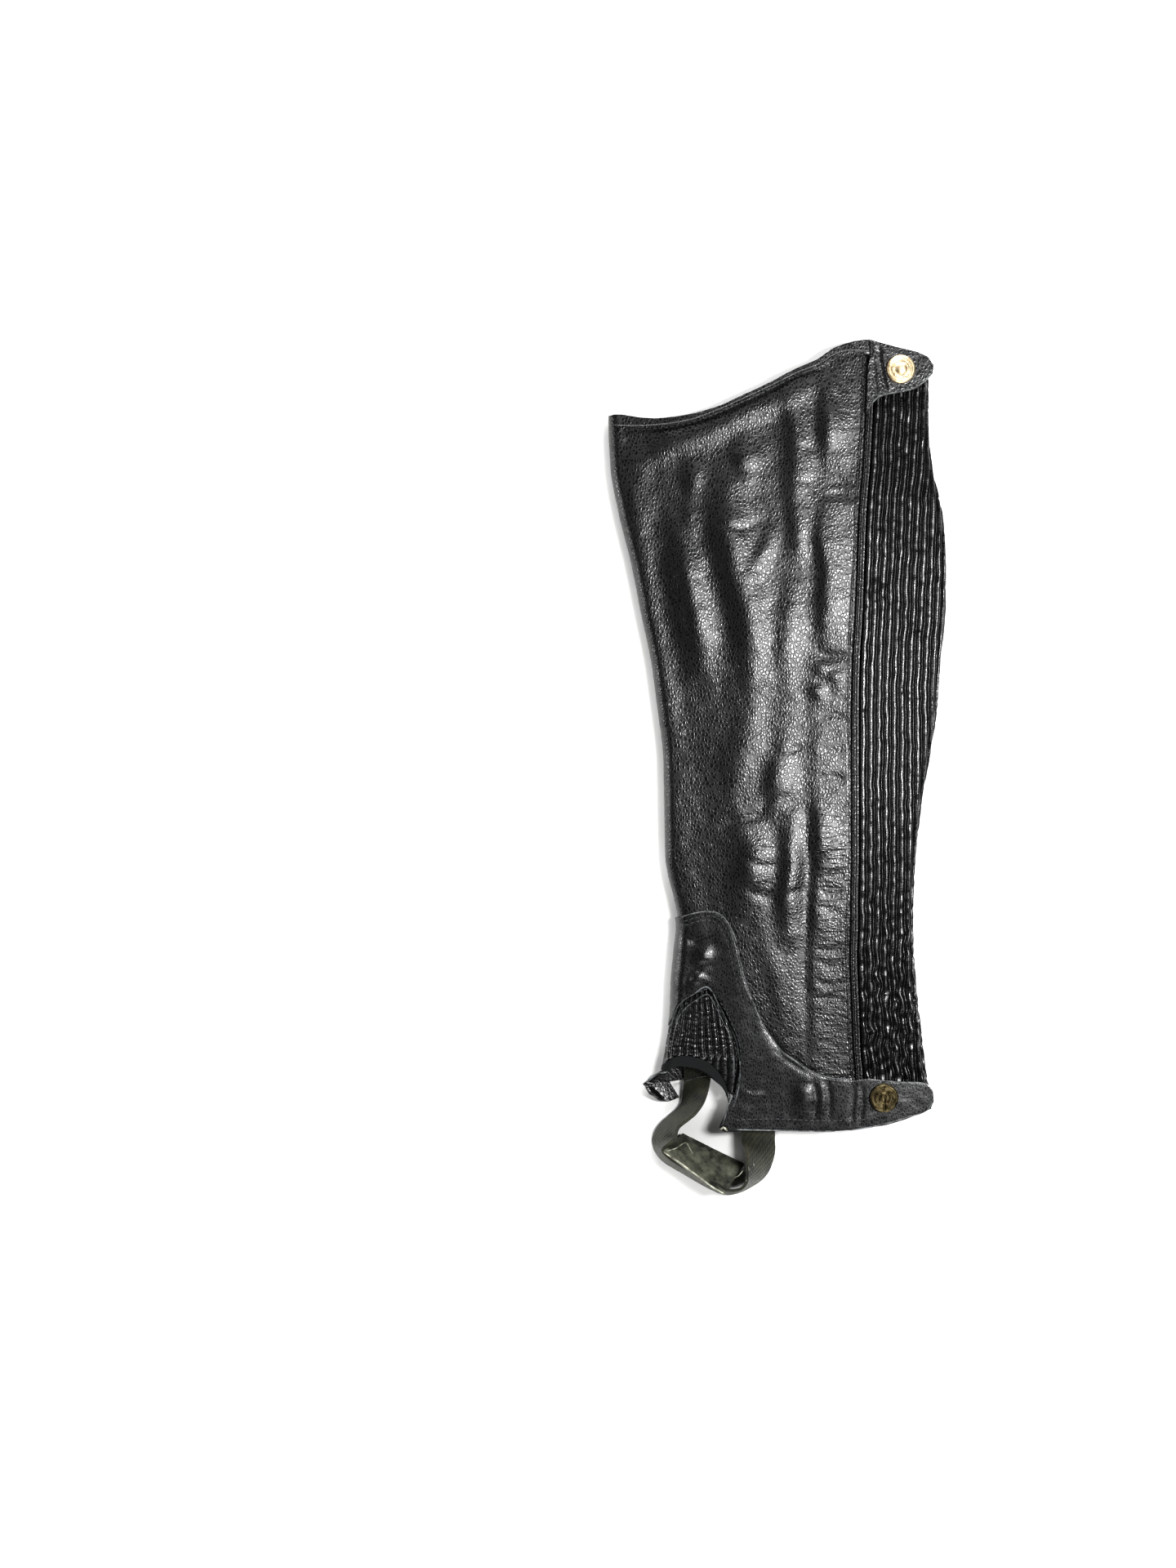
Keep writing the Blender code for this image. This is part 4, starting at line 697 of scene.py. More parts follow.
def webbing_material():
    """Nylon webbing, woven in a narrow herringbone and worn: its high threads are olive and fuzzy."""
    material, tree, shader = new_material("worn_nylon_webbing")
    run = add(tree, "ShaderNodeUVMap", {"uv_map": "run"})
    weave = add(tree, "ShaderNodeTexWave", {"bands_direction": "DIAGONAL"}, Vector=run, Scale=314.0 / 1.5,
                Distortion=0.8, Detail=1.0)
    cross = add(tree, "ShaderNodeTexWave", {"bands_direction": "X"}, Vector=run, Scale=314.0, Distortion=0.6)
    both = add(tree, "ShaderNodeMath", {"operation": "MULTIPLY_ADD"}, i0=weave.outputs["Fac"], i1=0.7,
               i2=cross.outputs["Fac"])
    bump = add(tree, "ShaderNodeBump", Strength=0.7, Distance=0.00025, Height=both)
    where = add(tree, "ShaderNodeTexCoord").outputs["Object"]
    wear = add(tree, "ShaderNodeTexNoise", Vector=where, Scale=95.0, Detail=6.0, Roughness=0.7)
    fuzz = add(tree, "ShaderNodeTexNoise", Vector=where, Scale=1600.0, Detail=2.0)
    mixed = add(tree, "ShaderNodeMath", {"operation": "MULTIPLY_ADD"}, i0=fuzz, i1=0.35, i2=wear)
    tone = add(tree, "ShaderNodeValToRGB", {"stops": ((0.52, "#0d0e0a"), (0.92, "#3a3a29"))}, Fac=mixed)
    feed(tree, shader, Normal=bump, Base_Color=tone, Roughness=0.8, Sheen_Weight=0.25, Sheen_Roughness=0.5)
    return material


def rubbed_material(name):
    """A surface rubbed unevenly, as its row of the table says."""
    scale, detail, rough, dark, light, roughness, relief = RUBBED[name]
    material, tree, shader = new_material(name)
    where = add(tree, "ShaderNodeTexCoord").outputs["Object"]
    wear = add(tree, "ShaderNodeTexNoise", Vector=where, Scale=scale, Detail=detail, Roughness=rough)
    tone = add(tree, "ShaderNodeValToRGB", {"stops": (dark, light)}, Fac=wear)
    feed(tree, shader, Base_Color=tone, Roughness=roughness)
    if relief:
        feed(tree, shader, Normal=add(tree, "ShaderNodeBump", Strength=relief, Distance=0.0002, Height=wear))
    return material


def brass_material(name, bright, dark, amount):
    """Stamped brass, lacquer worn off: mottled bright and brown, rougher where brown."""
    material, tree, shader = new_material(name)
    where = add(tree, "ShaderNodeTexCoord").outputs["Object"]
    stain = add(tree, "ShaderNodeTexNoise", Vector=where, Scale=420.0, Detail=5.0, Roughness=0.65)
    tone = add(tree, "ShaderNodeValToRGB", {"stops": ((amount - 0.18, dark), (amount + 0.2, bright))}, Fac=stain)
    rough = add(tree, "ShaderNodeMapRange", Value=stain, To_Min=0.52, To_Max=0.40)
    bump = add(tree, "ShaderNodeBump", Strength=0.3, Distance=0.0001, Height=stain)
    feed(tree, shader, Normal=bump, Base_Color=tone, Roughness=rough, Metallic=1.0)
    return material


# ---------------------------------------------------------------- properties
class HalfChapLeather(bpy.types.PropertyGroup):
    grain_size: bpy.props.FloatProperty(
        name="Grain size", description="Width of a cell of the leather's grain", default=0.0015, unit="LENGTH",
        precision=5)
    grain_depth: bpy.props.FloatProperty(
        name="Grain depth", description="Depth of the grain's valleys", default=0.00007, unit="LENGTH", precision=5)
    grain_strength: bpy.props.FloatProperty(
        name="Grain strength", description="How strongly the grain shows", default=0.9, min=0.0, max=1.0,
        subtype="FACTOR")
    crease: bpy.props.FloatProperty(
        name="Creasing", description="Depth of the worn creases against the usual", default=1.0, min=0.0, max=2.0,
        subtype="FACTOR")
    leather_dark: bpy.props.FloatVectorProperty(
        name="Dark leather", description="Dyed leather in its deep tone", size=4, subtype="COLOR",
        default=linear("#08090a"), min=0.0, max=1.0)
    # The lighter tone goes where the leather is rubbed, and also on crests and ridges as a painted highlight
    leather_light: bpy.props.FloatVectorProperty(
        name="Flexed leather", description="Dyed leather where it is rubbed", size=4, subtype="COLOR",
        default=linear("#0f1011"), min=0.0, max=1.0)


class HalfChapShirring(bpy.types.PropertyGroup):
    rib_depth: bpy.props.FloatProperty(
        name="Rib depth", description="Depth of the grooves between the ribs", default=0.0021, unit="LENGTH",
        precision=5)
    unevenness: bpy.props.FloatProperty(
        name="Unevenness", description="How far the ribs wander from their line", default=1.0, min=0.0, max=2.0,
        subtype="FACTOR")


class HalfChapSewing(bpy.types.PropertyGroup):
    pitch: bpy.props.FloatProperty(
        name="Stitch pitch", description="Distance from stitch to stitch", default=0.003, unit="LENGTH", precision=5)
    thread: bpy.props.FloatProperty(
        name="Thread", description="Thickness of the thread", default=0.0006, unit="LENGTH", precision=5)


class HalfChapStudio(bpy.types.PropertyGroup):
    distance: bpy.props.FloatProperty(
        name="Camera distance", description="From the lens to the leather", default=1.3, unit="LENGTH")
    key_power: bpy.props.FloatProperty(
        name="Main light", description="Power of the soft light from the right", default=9.4, subtype="POWER")
    fill_power: bpy.props.FloatProperty(
        name="Fill light", description="Power of the side lights", default=32.0, subtype="POWER")
    floor: bpy.props.FloatVectorProperty(
        name="Floor", description="Colour of the pale floor", size=4, subtype="COLOR", default=linear("#f3f3f2"),
        min=0.0, max=1.0)


# ---------------------------------------------------------------- pieces
class HALFCHAP_OT_body(bpy.types.Operator):
    """Body leather from the zip edge round the shin fold, with its folds and creases"""
    bl_idname = "half_chap.body"
    bl_label = "Body Leather"

    def execute(self, context):
        crease = context.scene.half_chap_leather.crease
        shape = node_copy("main_panel")

        def wanted(face):
            return face.normal.z > -0.35 and face.calc_center_median().z > 2.4 and face.normal.length > 0.5

        def extra(x, y, arc):
            return crease * creasing(x, y) + 0.12 * ripple(x, y, 1.0, 9.0) * np.clip((arc + 4.0) / 6.0, 0.0, 1.0)

        refine(shape, limit=2.1, wanted=wanted, split=-0.85, rounds=3)
        points = settle(shape, 0.0, extra)
        set_coordinates(shape, points)
        # puckered beside the zip, most over the calf's lower half, and where the ankle bends
        x, y = points[:, 0], points[:, 1]
        placket = np.clip((x - 16.3) / 4.0, 0.0, 1.0)
        low = np.clip((-8.0 - y) / 20.0, 0.0, 1.0)
        ankle = np.exp(-((x - -9.5) / 26.0) ** 2 - ((y - -46.7) / 24.0) ** 2)
        mesh = to_mesh(shape, "body_leather")
        worn(mesh, None, placket * (0.22 + 0.78 * low) + 0.5 * ankle + 0.06)
        leather = shared(leather_material, "pebbled_leather")
        thing = place("body_leather", mesh, leather, "black_leather", "main_panel")
        soften(thing, 0.5)
        keep_for_sewing(thing)
        return {"FINISHED"}


def rib_profile(phase):
    """Drop across one rib, crest to groove: each rib leans, so its far flank is long and its near one steep."""
    t = 2.0 * (phase - np.floor(phase)) - 1.0
    return np.interp(t, (-1.0, -0.88, -0.72, -0.55, -0.38, -0.24, -0.08, 0.2, 0.54, 0.7, 0.82, 0.92, 1.0),
                     (1.0, 0.90, 0.60, 0.30, 0.10, 0.02, 0.0, 0.055, 0.14, 0.34, 0.66, 0.90, 1.0))


class HALFCHAP_OT_shirred_panel(bpy.types.Operator):
    """Shirred leather on elastic, gathered into uneven ribs round the calf fold"""
    bl_idname = "half_chap.shirred_panel"
    bl_label = "Shirred Calf Panel"

    def execute(self, context):
        ribs = context.scene.half_chap_shirring
        shape = bmesh.new()
        bmesh.ops.create_grid(shape, x_segments=PANEL_RIBS * 10, y_segments=250, size=0.5)
        flat = coordinates(shape)
        p = (flat[:, 0] + 0.5) * PANEL_WIDTH
        y = 209.2 + (0.5 - flat[:, 1]) * (-180.0 - 209.2)
        pitch = PANEL_WIDTH / PANEL_RIBS
        low = np.clip((-59.6 - y) / 60.0, 0.0, 1.0)
        rib = np.floor(p / pitch)
        wander = 0.45 * ripple(y, p * 0.8, 2.0, 34.0) + (0.42 + 1.15 * low) * ripple(y, p * 0.8, 5.0, 9.0)
        # s runs round the calf fold, with nought at its outermost line; the ribs fade out on the inner side
        start = section(y, 3) - CALF_DEPTH + CALF_ARC - section(y, 2) - ZIP_WIDTH - 0.3
        edge_fade = np.clip(np.minimum(p, PANEL_WIDTH - p) / 3.0, 0.0, 1.0)
        s = start - p
        under = np.clip((s + 0.62 * CALF_ARC) / 3.0, 0.0, 1.0)
        phase = (p + ribs.unevenness * wander * edge_fade * under) / pitch
        depth = ribs.rib_depth / MM
        nick = np.clip(ripple(y, rib * 5.0 + p * 0.25, 9.0, 3.6) - 0.12, 0.0, 1.0)
        drop = under * (depth * rib_profile(phase) + (0.55 + 0.9 * low) * nick
                        + 0.22 * (1.0 + ripple(y, rib * 4.0, 11.0, 22.0)))
        centre = section(y, 3) - CALF_DEPTH
        half = 0.5 * height(centre, y)
        angle = np.clip(math.pi * (CALF_ARC - s) / (2.0 * CALF_ARC), 0.0, math.pi)
        top_x = centre - (s - CALF_ARC)
        x = np.where(s > CALF_ARC, top_x, centre + (CALF_DEPTH - drop) * np.sin(angle))
        x = np.where(s < -CALF_ARC, centre + s + CALF_ARC, x)
        z = np.where(s > CALF_ARC, height(top_x, y) - drop, half + (half - drop) * np.cos(angle))
        z = np.where(s < -CALF_ARC, 0.0, z)
        set_coordinates(shape, np.column_stack((x, y, np.maximum(z, 0.0))))
        bmesh.ops.recalc_face_normals(shape, faces=shape.faces)
        mesh = to_mesh(shape, "shirred_calf_panel")
        # Painted highlight and painted shade, partly real wear: the ribs' crests get a lighter colour and their grooves
        # a darker one
        worn(mesh, 1.15 - 1.6 * drop / depth)
        leather = shared(leather_material, "shirred_leather")
        thing = place("shirred_calf_panel", mesh, leather, "black_leather", "shirred_panel")
        if sum(f.normal.z * f.area for f in mesh.polygons if f.center.z > 0.006) < 0:
            mesh.flip_normals()
        thicken(thing, 1.3)
        keep_for_sewing(thing)
        return {"FINISHED"}


class HALFCHAP_OT_zip(bpy.types.Operator):
    """Zip tape beside the placket edge, with its piping and a raised border"""
    bl_idname = "half_chap.zip"
    bl_label = "Zip Tape"

    def execute(self, context):
        shape = bmesh.new()
        bmesh.ops.create_grid(shape, x_segments=26, y_segments=300, size=0.5)
        flat = coordinates(shape)
        across = flat[:, 0] + 0.5
        y = 218.2 + (0.5 - flat[:, 1]) * (-186.8 - 218.2)
        x = section(y, 2) + 0.3 + (ZIP_WIDTH - 0.3) * across
        piping = np.exp(-((across - 0.42 - 0.02 * ripple(y, y * 0, 3.0, 40.0)) / 0.11) ** 2)
        border = np.exp(-((across - 0.80) / 0.06) ** 2)
        z = height(x, y) - ZIP_SINK - 0.25 + 1.15 * piping + 0.45 * border + 0.06 * ripple(y, x, 4.0, 5.0) * piping
        set_coordinates(shape, np.column_stack((x, y, z)))
        mesh = to_mesh(shape, "zip_piping")
        # Painted highlight, partly real wear: the piping's crest gets a lighter colour than the tape beside it
        worn(mesh, 0.2 + 0.8 * piping)
        thing = place("zip_piping", mesh, shared(leather_material, "pebbled_leather"), "black_tape", "zip_tape")
        if sum(f.normal.z for f in mesh.polygons) < 0:
            mesh.flip_normals()
        thicken(thing, 1.2)
        return {"FINISHED"}


class HALFCHAP_OT_laps(bpy.types.Operator):
    """Foot piece, fastening tabs, top band and hem band, which lie on the body leather"""
    bl_idname = "half_chap.laps"
    bl_label = "Lapped Pieces"

    def execute(self, context):
        crease = context.scene.half_chap_leather.crease
        leather = shared(leather_material, "pebbled_leather")
        # piece, CAD node, material, slot, outer offset, offset that parts outer from inner points, longest edge,
        # flat size, area, what it rests on
        rows = [
            ("foot_piece", "foot_overlay", shared(leather_material, "foot_leather"), "black_leather",
             LAP + OVERLAY, 1.15, 1.7, (0.145, 0.116), 0.0062, "body_leather"),
            ("top_band", "top_binding", leather, "black_leather",
             LAP + 1.1, 1.0, 1.3, (0.010, 0.147), 0.00105, "body_leather"),
            ("gusset_hem_band", "gusset_binding", shared(tape_material), "black_tape",
             0.0, -0.85, 1.2, (0.010, 0.048), 0.00029, "foot_piece"),
        ]
        for name, node, material, slot, outer, split, limit, flat, area, under in rows:
            shape = node_copy(node)
            refine(shape, limit, lambda f: f.normal.z > -0.4, split)
            points = settle(shape, outer, lambda x, y, arc: crease * creasing(x, y) + 0.10 * ripple(x, y, 1.0, 9.0))
            if name == "foot_piece":
                low = np.clip((-113.3 - points[:, 1]) / 18.0, 0.0, 1.0)
                flank = np.clip((section(points[:, 1], 1) + 3.0 - points[:, 0]) / 3.0, 0.0, 1.0)
                points[:, 0] += TUCK * low * flank * (points[:, 1] > -149.9)
            set_coordinates(shape, points)
            mesh = to_mesh(shape, name)
            # Painted shade, partly real wear: crease troughs get a darker colour, raised creases a lighter one
            worn(mesh, 0.7 + 0.4 * creasing(points[:, 0], points[:, 1]), 0.10)
            thing = place(name, mesh, material, slot, node)
            soften(thing, 0.4)
            keep_for_sewing(thing)
        shape = node_copy("top_tab")
        refine(shape, 1.4, lambda f: f.normal.z > -0.4, 1.0)
        points = coordinates(shape)
        x, y, z = points.T.copy()
        drawn, surface = drawn_height(x, y), height(x, y)
        swell = 1.7 + crease * creasing(x, y) + 0.1 * ripple(x, y, 3.0, 8.0)
        points[:, 2] = np.where(z - drawn > 1.0, surface + swell, z + surface - drawn)
        set_coordinates(shape, points)
        mesh = to_mesh(shape, "top_fastening_tab")
        worn(mesh)
        thing = place("top_fastening_tab", mesh, leather, "black_leather", "top_tab")
        soften(thing, 0.45)
        keep_for_sewing(thing)
        return {"FINISHED"}


class HALFCHAP_OT_gusset(bpy.types.Operator):
    """Shirred gusset of the instep, its ribs fanning from the point of the arch"""
    bl_idname = "half_chap.gusset"
    bl_label = "Instep Gusset"

    def execute(self, context):
        shape = node_copy("gusset")
        refine(shape, 0.95, lambda f: f.normal.z > -0.4 or f.normal.x < -0.5, -1.6)

        def ribs(x, y, arc):
            centre = SHIN_ARC + GUSSET_CENTRE - section(y, 1) - SHIN_DEPTH
            fan = 0.62 + 0.38 * np.clip((-115.9 - y) / 30.0, 0.0, 1.0)
            phase = (arc - centre) / (GUSSET_PITCH * fan) + 0.5
            lane = np.floor(phase)
            phase = phase + 0.10 * ripple(y, lane * 3.0, 6.0, 12.0)
            gathered = np.clip((y - -154.2) / 4.0, 0.25, 1.0)
            nick = np.clip(ripple(y, lane * 5.0 + arc * 0.2, 8.0, 2.4) - 0.2, 0.0, 1.0)
            return -(1.25 * rib_profile(phase) + 0.45 * nick) * gathered + creasing(x, y)

        points = settle(shape, -0.1, ribs)
        set_coordinates(shape, points)
        mesh = to_mesh(shape, "instep_gusset")
        x, y = points[:, 0], points[:, 1]
        # Painted highlight and painted shade, partly real wear: the ribs' crests get a lighter colour and their grooves
        # a darker one
        worn(mesh, 1.0 + ribs(x, y, SHIN_ARC + x - section(y, 1) - SHIN_DEPTH))
        leather = shared(leather_material, "shirred_leather")
        thing = place("instep_gusset", mesh, leather, "black_leather", "gusset")
        keep_for_sewing(thing)
        return {"FINISHED"}


def band(stations, across, spacing, bulge):
    """Grid swept through pairs of edge points, with its run as a UV map in metres."""
    edges = np.array(smooth_course([(*low, *high) for low, high in stations], spacing))
    lows, widths = edges[:, :3], edges[:, 3:] - edges[:, :3]
    middles = lows + 0.5 * widths
    rows = len(lows)
    run = np.concatenate(([0.0], np.cumsum(np.linalg.norm(np.diff(middles, axis=0), axis=1))))
    shape = bmesh.new()
    bmesh.ops.create_grid(shape, x_segments=across, y_segments=rows - 1, size=0.5)
    flat = coordinates(shape)
    u = flat[:, 0] + 0.5
    row = np.rint((flat[:, 1] + 0.5) * (rows - 1)).astype(int)
    normal = np.cross(np.gradient(middles, axis=0), widths)
    normal /= np.linalg.norm(normal, axis=1)[:, None]
    set_coordinates(shape, lows[row] + widths[row] * u[:, None] + normal[row] * bulge(u, run[row])[:, None])
    layer = shape.loops.layers.uv.new("run")
    width = np.linalg.norm(widths, axis=1)
    shape.verts.index_update()
    for face in shape.faces:
        for loop in face.loops:
            i = loop.vert.index
            loop[layer].uv = (u[i] * width[row[i]] * MM, run[row[i]] * MM)
    return shape


class HALFCHAP_OT_foot_strap(bpy.types.Operator):
    """Webbing loop under the boot, with its stitched wear pad"""
    bl_idname = "half_chap.foot_strap"
    bl_label = "Foot Strap"

    def execute(self, context):
        shape = band(STRAP, 14, 1.4, lambda u, run: 0.10 * ripple(run, u * 18.0, 2.0, 6.0) + 0.25 * np.sin(math.pi * u))
        thing = place("foot_webbing", to_mesh(shape, "foot_webbing"), shared(webbing_material), "black_webbing",
                      "foot_strap")
        thicken(thing, 1.7, 0.0)
        soften(thing, 0.4)
        keep_for_sewing(thing)
        shape = band(PAD, 16, 1.2, lambda u, run: 0.12 * ripple(run, u * 18.0, 4.0, 7.0))
        thing = place("strap_wear_pad", to_mesh(shape, "strap_wear_pad"), shared(rubbed_material, "rubbed_vinyl_pad"),
                      "worn_vinyl", "strap_pad")
        thicken(thing, 1.9, 0.0)
        soften(thing, 0.5)
        keep_for_sewing(thing)
        return {"FINISHED"}


class HALFCHAP_OT_snap_caps(bpy.types.Operator):
    """Brass snap caps with plain rings and a reeded rim"""
    bl_idname = "half_chap.snap_caps"
    bl_label = "Snap Caps"

    def execute(self, context):
        # radius and height of the cap's outline, from the rim to the middle
        profile = [(7.0, 0.0), (7.5, 0.35), (7.5, 1.2), (7.2, 1.75), (6.7, 2.1), (6.2, 2.2), (5.8, 1.95), (5.4, 1.85),
                   (5.0, 2.2), (4.6, 2.45), (4.2, 2.3), (3.7, 1.95), (3.2, 2.05), (2.7, 2.5), (2.2, 2.75), (1.4, 2.9),
                   (0.6, 2.98), (0.0, 3.0)]
        looks = (("snap_cap_top", (64.1, 209.6), 1.7, brass_material("stamped_brass", "#f4e2c2", "#8c7a5c", 0.45)),
                 ("snap_cap_foot", (55.0, -173.1), 1.9, brass_material("tarnished_brass", "#80765c", "#2a2417", 0.55)))
        for node, (x, y), lift, material in looks:
            shape = bmesh.new()
            verts = [shape.verts.new((r, 0.0, h)) for r, h in profile]
            edges = [shape.edges.new(pair) for pair in zip(verts, verts[1:])]
            bmesh.ops.spin(shape, geom=verts + edges, cent=(0, 0, 0), axis=(0, 0, 1), angle=math.tau, steps=96,
                           use_merge=True)
            bmesh.ops.remove_doubles(shape, verts=shape.verts, dist=1e-4)
            bmesh.ops.holes_fill(shape, edges=[e for e in shape.edges if e.is_boundary], sides=0)
            bmesh.ops.recalc_face_normals(shape, faces=shape.faces)
            for v in shape.verts:
                radius, turn = math.hypot(v.co.x, v.co.y), math.atan2(v.co.y, v.co.x)
                if 6.0 < radius and v.co.z > 0.3:
                    v.co.z += REEDING * math.cos(48 * turn)
                if 3.0 < radius < 5.2:
                    v.co.z += REEDING * math.cos(24 * turn)
                if node == "snap_cap_foot" and abs(v.co.x) < 0.42 and v.co.y < 1.5 and v.co.z > 1.0:
                    v.co.z -= 0.9  # the crack across this cap
            around = height(np.array((x, x + 1.0, x - 1.0, x, x)), np.array((y, y, y, y + 1.0, y - 1.0)))
            normal = Vector(((around[2] - around[1]) / 2.0, (around[4] - around[3]) / 2.0, 1.0)).normalized()
            turn = Vector((0, 0, 1)).rotation_difference(normal).to_matrix().to_4x4()
            seat = Vector((x, y, around[0] + lift)) + normal * 0.3
            bmesh.ops.transform(shape, matrix=Matrix.Translation(seat) @ turn, verts=shape.verts)
            name = "brass_" + node
            place(name, to_mesh(shape, name), material, "brass", node)
        return {"FINISHED"}


class HALFCHAP_OT_edges(bpy.types.Operator):
    """Rounded cut and turned edges of the leather, paler than its face: rubbed dye and a painted highlight line"""
    bl_idname = "half_chap.edges"
    bl_label = "Leather Edges"

    def execute(self, context):
        for kind, material, slot in (
                # Grey edge beads: rubbed dye and a painted highlight line
                ("worn", shared(rubbed_material, "rubbed_edge_with_painted_highlight"), "black_leather"),
                ("pale", shared(rubbed_material, "worn_pale_edge"), "worn_vinyl"),
                ("leather", shared(leather_material, "pebbled_leather"), "black_leather")):
            shape = bmesh.new()
            for radius, colour, course in EDGES:
                if colour != kind:
                    continue
                line = smooth_course(course, 1.6)
                spots = np.array([[*spot, on_surface(*spot)[0].z / MM] for spot in line])
                rows = len(line) - 1
                tube = bmesh.new()
                bmesh.ops.create_grid(tube, x_segments=8, y_segments=rows, size=0.5)
                along = np.gradient(spots, axis=0)
                along /= np.linalg.norm(along, axis=1)[:, None]
                side = np.cross(along, (0.0, 0.0, 1.0))
                side /= np.linalg.norm(side, axis=1)[:, None]
                up = np.cross(side, along)
                flat = coordinates(tube)
                row = np.rint((flat[:, 1] + 0.5) * rows).astype(int)
                turn = flat[:, 0] * math.tau
                size = radius * (1.0 + 0.18 * ripple(spots[row, 0], spots[row, 1], 3.0, 7.0))
                size = size * np.where((row == 0) | (row == rows), 0.05, 1.0)
                set_coordinates(tube, spots[row] + side[row] * (np.cos(turn) * size)[:, None]
                                + up[row] * (np.sin(turn) * size)[:, None])
                bmesh.ops.remove_doubles(tube, verts=tube.verts, dist=1e-5)
                bmesh.ops.holes_fill(tube, edges=[e for e in tube.edges if e.is_boundary], sides=0)
                bmesh.ops.recalc_face_normals(tube, faces=tube.faces)
                made = bpy.data.meshes.new("edge")
                tube.to_mesh(made)
                tube.free()
                shape.from_mesh(made)
                bpy.data.meshes.remove(made)
            name = kind + "_edges"
            mesh = to_mesh(shape, name)
            # Painted highlight, partly real wear: the leather edge beads get a high rub and so a lighter colour than
            # the face
            worn(mesh, 0.9)
            place(name, mesh, material, slot)
        return {"FINISHED"}


class HALFCHAP_OT_sewing(bpy.types.Operator):
    """Stitches along the seams, set on the dressed leather"""
    bl_idname = "half_chap.sewing"
    bl_label = "Sewing"

    def execute(self, context):
        props = context.scene.half_chap_sewing
        pitch, thick = props.pitch / MM, props.thread
        shape = bmesh.new()
        for course in SEWING.values():
            line = np.array(smooth_course(course, 0.5))
            run = np.concatenate(([0.0], np.cumsum(np.linalg.norm(np.diff(line, axis=0), axis=1))))
            for k in range(int(run[-1] / pitch)):
                (a, na), (b, nb) = (on_surface(*(np.interp((k + share) * pitch, run, line[:, j]) for j in (0, 1)))
                                    for share in (0.16, 0.84))
                if abs(a.z - b.z) > 0.0012:
                    continue
                made = bmesh.ops.create_uvsphere(shape, u_segments=6, v_segments=4, radius=1.0)["verts"]
                along = b - a
                normal = (na + nb).normalized()
                side = along.normalized().cross(normal)
                basis = Matrix((along * 0.56, side * thick * 0.5, normal * thick * 0.42)).transposed().to_4x4()
                spin = Matrix.Rotation(math.pi / 2, 4, "Y")
                spot = Matrix.Translation((a + b) * 0.5 + normal * thick * 0.12)
                bmesh.ops.transform(shape, matrix=spot @ basis @ spin, verts=made)
        bmesh.ops.recalc_face_normals(shape, faces=shape.faces)
        mesh = bpy.data.meshes.new("seam_stitches")
        shape.to_mesh(mesh)
        shape.free()
        place("seam_stitches", mesh, shared(thread_material), "black_tape")
        return {"FINISHED"}


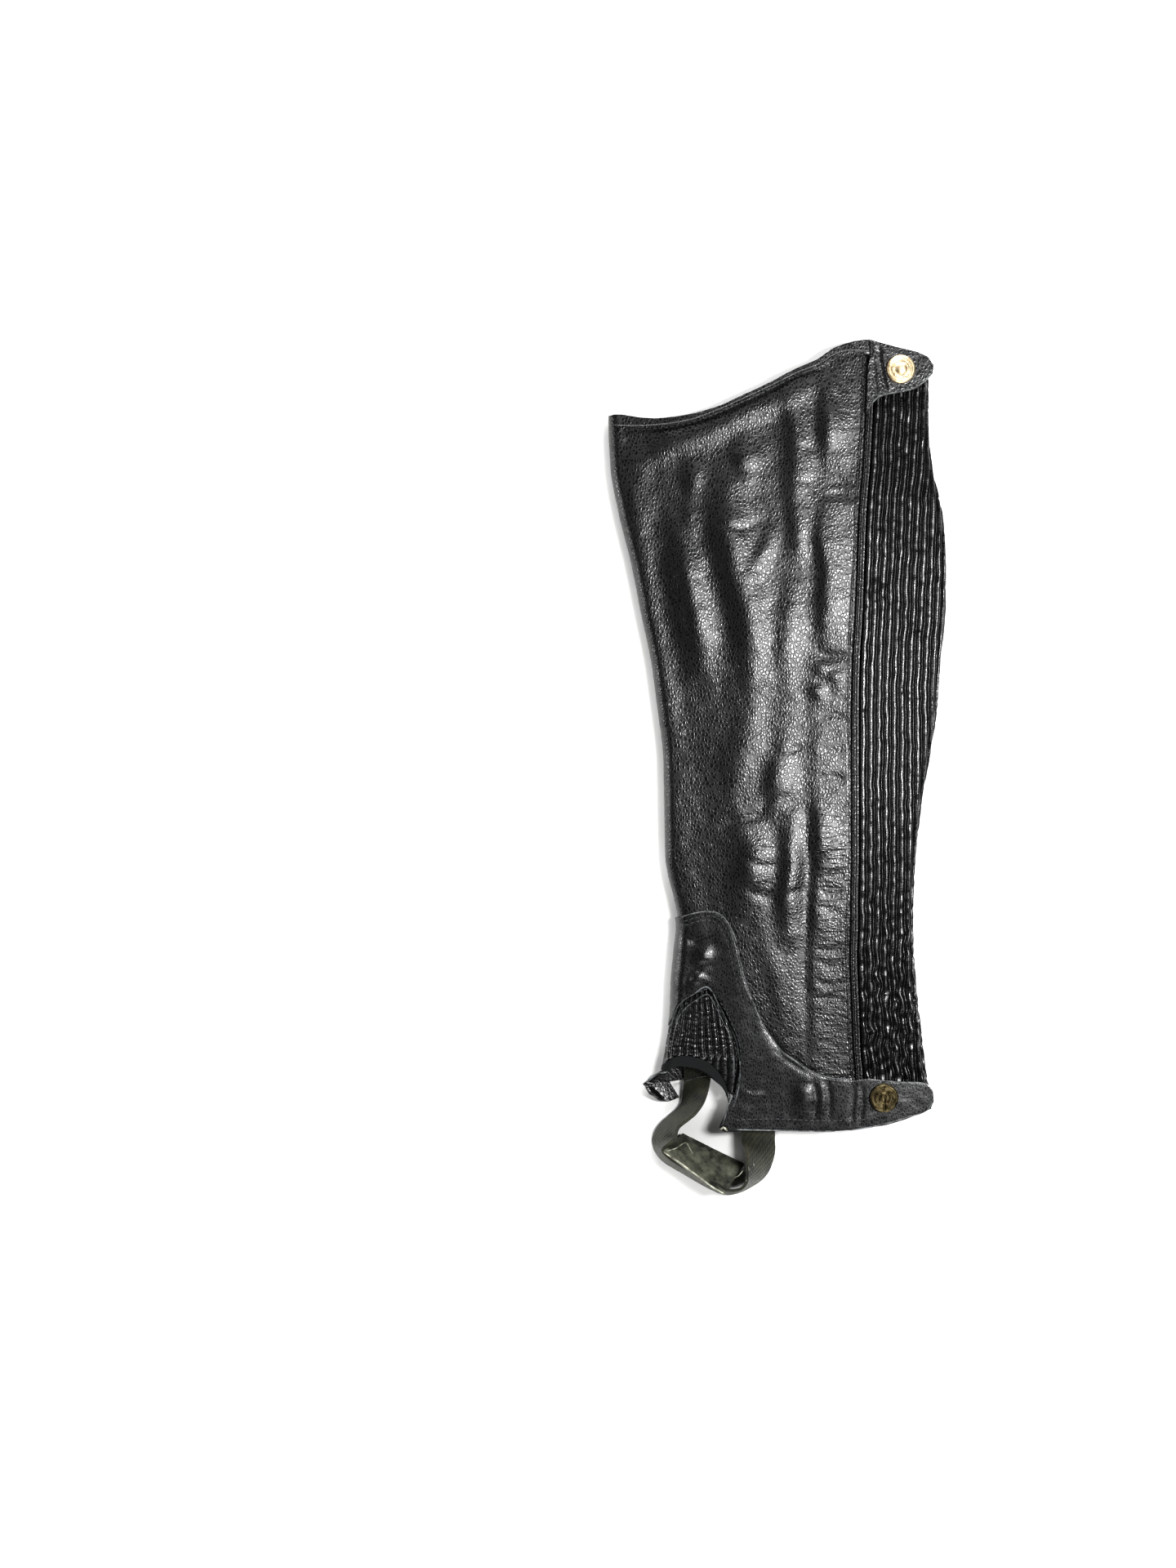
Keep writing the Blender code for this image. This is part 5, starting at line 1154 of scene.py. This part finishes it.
class HALFCHAP_OT_stage(bpy.types.Operator):
    """Pale floor, soft studio lights and the camera straight above"""
    bl_idname = "half_chap.stage"
    bl_label = "Stage"

    def execute(self, context):
        scene = context.scene
        props = scene.half_chap_studio
        shape = bmesh.new()
        bmesh.ops.create_grid(shape, x_segments=1, y_segments=1, size=3.0)
        bmesh.ops.translate(shape, verts=shape.verts, vec=(0, 0, -0.0003))
        mesh = bpy.data.meshes.new("floor")
        shape.to_mesh(mesh)
        shape.free()
        floor = bpy.data.objects.new("floor", mesh)
        scene.collection.objects.link(floor)
        material, tree, shader = new_material("pale_paper")
        feed(tree, shader, Base_Color=props.floor, Roughness=0.9)
        mesh.materials.append(material)
        # name, place, what it is aimed at, width and length, power
        lights = [("key light", (0.50, 0.07, 1.02), (0.02, 0.04, 0.0), (0.20, 0.34), props.key_power),
                  ("left light", (-1.6, 0.1, 0.5), (0.0, 0.0, 0.0), (0.3, 1.0), props.fill_power * 0.18),
                  ("head light", (0.0, 1.55, 0.70), (0.0, 0.0, 0.0), (1.6, 0.4), props.fill_power),
                  ("foot light", (0.0, -1.65, 0.70), (0.0, 0.0, 0.0), (1.6, 0.4), props.fill_power)]
        for name, spot, aim, size, power in lights:
            data = bpy.data.lights.new(name, "AREA")
            data.shape = "RECTANGLE"
            data.size, data.size_y = size
            data.energy = power
            lamp = bpy.data.objects.new(name, data)
            lamp.location = spot
            lamp.rotation_euler = (Vector(aim) - Vector(spot)).to_track_quat("-Z", "Y").to_euler()
            scene.collection.objects.link(lamp)
        world = bpy.data.worlds.new("studio")
        world.use_nodes = True
        feed(world.node_tree, world.node_tree.nodes["Background"], Color=linear("#ffffff"), Strength=0.03)
        scene.world = world
        scene.view_settings.view_transform = "Standard"
        scene.view_settings.look = "High Contrast"
        data = bpy.data.cameras.new("camera")
        data.sensor_fit = "VERTICAL"
        data.sensor_height = 36.0
        data.lens = data.sensor_height * props.distance / FRAME_HEIGHT
        data.clip_start = 0.05
        camera = bpy.data.objects.new("camera", data)
        camera.location = (-99.8 * MM, -8.0 * MM, 0.010 + props.distance)
        scene.collection.objects.link(camera)
        scene.camera = camera
        return {"FINISHED"}


class HALFCHAP_PT_panel(bpy.types.Panel):
    """Sizes, colours and pieces of the half chap"""
    bl_idname = "HALFCHAP_PT_panel"
    bl_label = "Half Chap"
    bl_space_type = "VIEW_3D"
    bl_region_type = "UI"
    bl_category = "Half Chap"

    def draw(self, context):
        layout = self.layout
        for group in GROUPS:
            box = layout.box()
            settings = getattr(context.scene, group)
            for name in settings.bl_rna.properties.keys():
                if name not in ("rna_type", "name"):
                    box.prop(settings, name)
        for operator in OPERATORS:
            layout.operator(operator.bl_idname)


OPERATORS = (HALFCHAP_OT_body, HALFCHAP_OT_shirred_panel, HALFCHAP_OT_zip, HALFCHAP_OT_laps, HALFCHAP_OT_gusset,
             HALFCHAP_OT_foot_strap, HALFCHAP_OT_snap_caps, HALFCHAP_OT_edges, HALFCHAP_OT_sewing, HALFCHAP_OT_stage)
GROUPS = {"half_chap_leather": HalfChapLeather, "half_chap_shirring": HalfChapShirring,
          "half_chap_sewing": HalfChapSewing, "half_chap_studio": HalfChapStudio}


def register():
    for name, group in GROUPS.items():
        bpy.utils.register_class(group)
        setattr(bpy.types.Scene, name, bpy.props.PointerProperty(type=group))
    for operator in OPERATORS:
        bpy.utils.register_class(operator)
    bpy.utils.register_class(HALFCHAP_PT_panel)


def unregister():
    bpy.utils.unregister_class(HALFCHAP_PT_panel)
    for operator in reversed(OPERATORS):
        bpy.utils.unregister_class(operator)
    for name, group in GROUPS.items():
        delattr(bpy.types.Scene, name)
        bpy.utils.unregister_class(group)


def main():
    register()
    for name in ("body", "shirred_panel", "zip", "laps", "gusset", "foot_strap", "snap_caps", "edges", "sewing",
                 "stage"):
        getattr(bpy.ops.half_chap, name)()


if __name__ == "__main__":
    main()
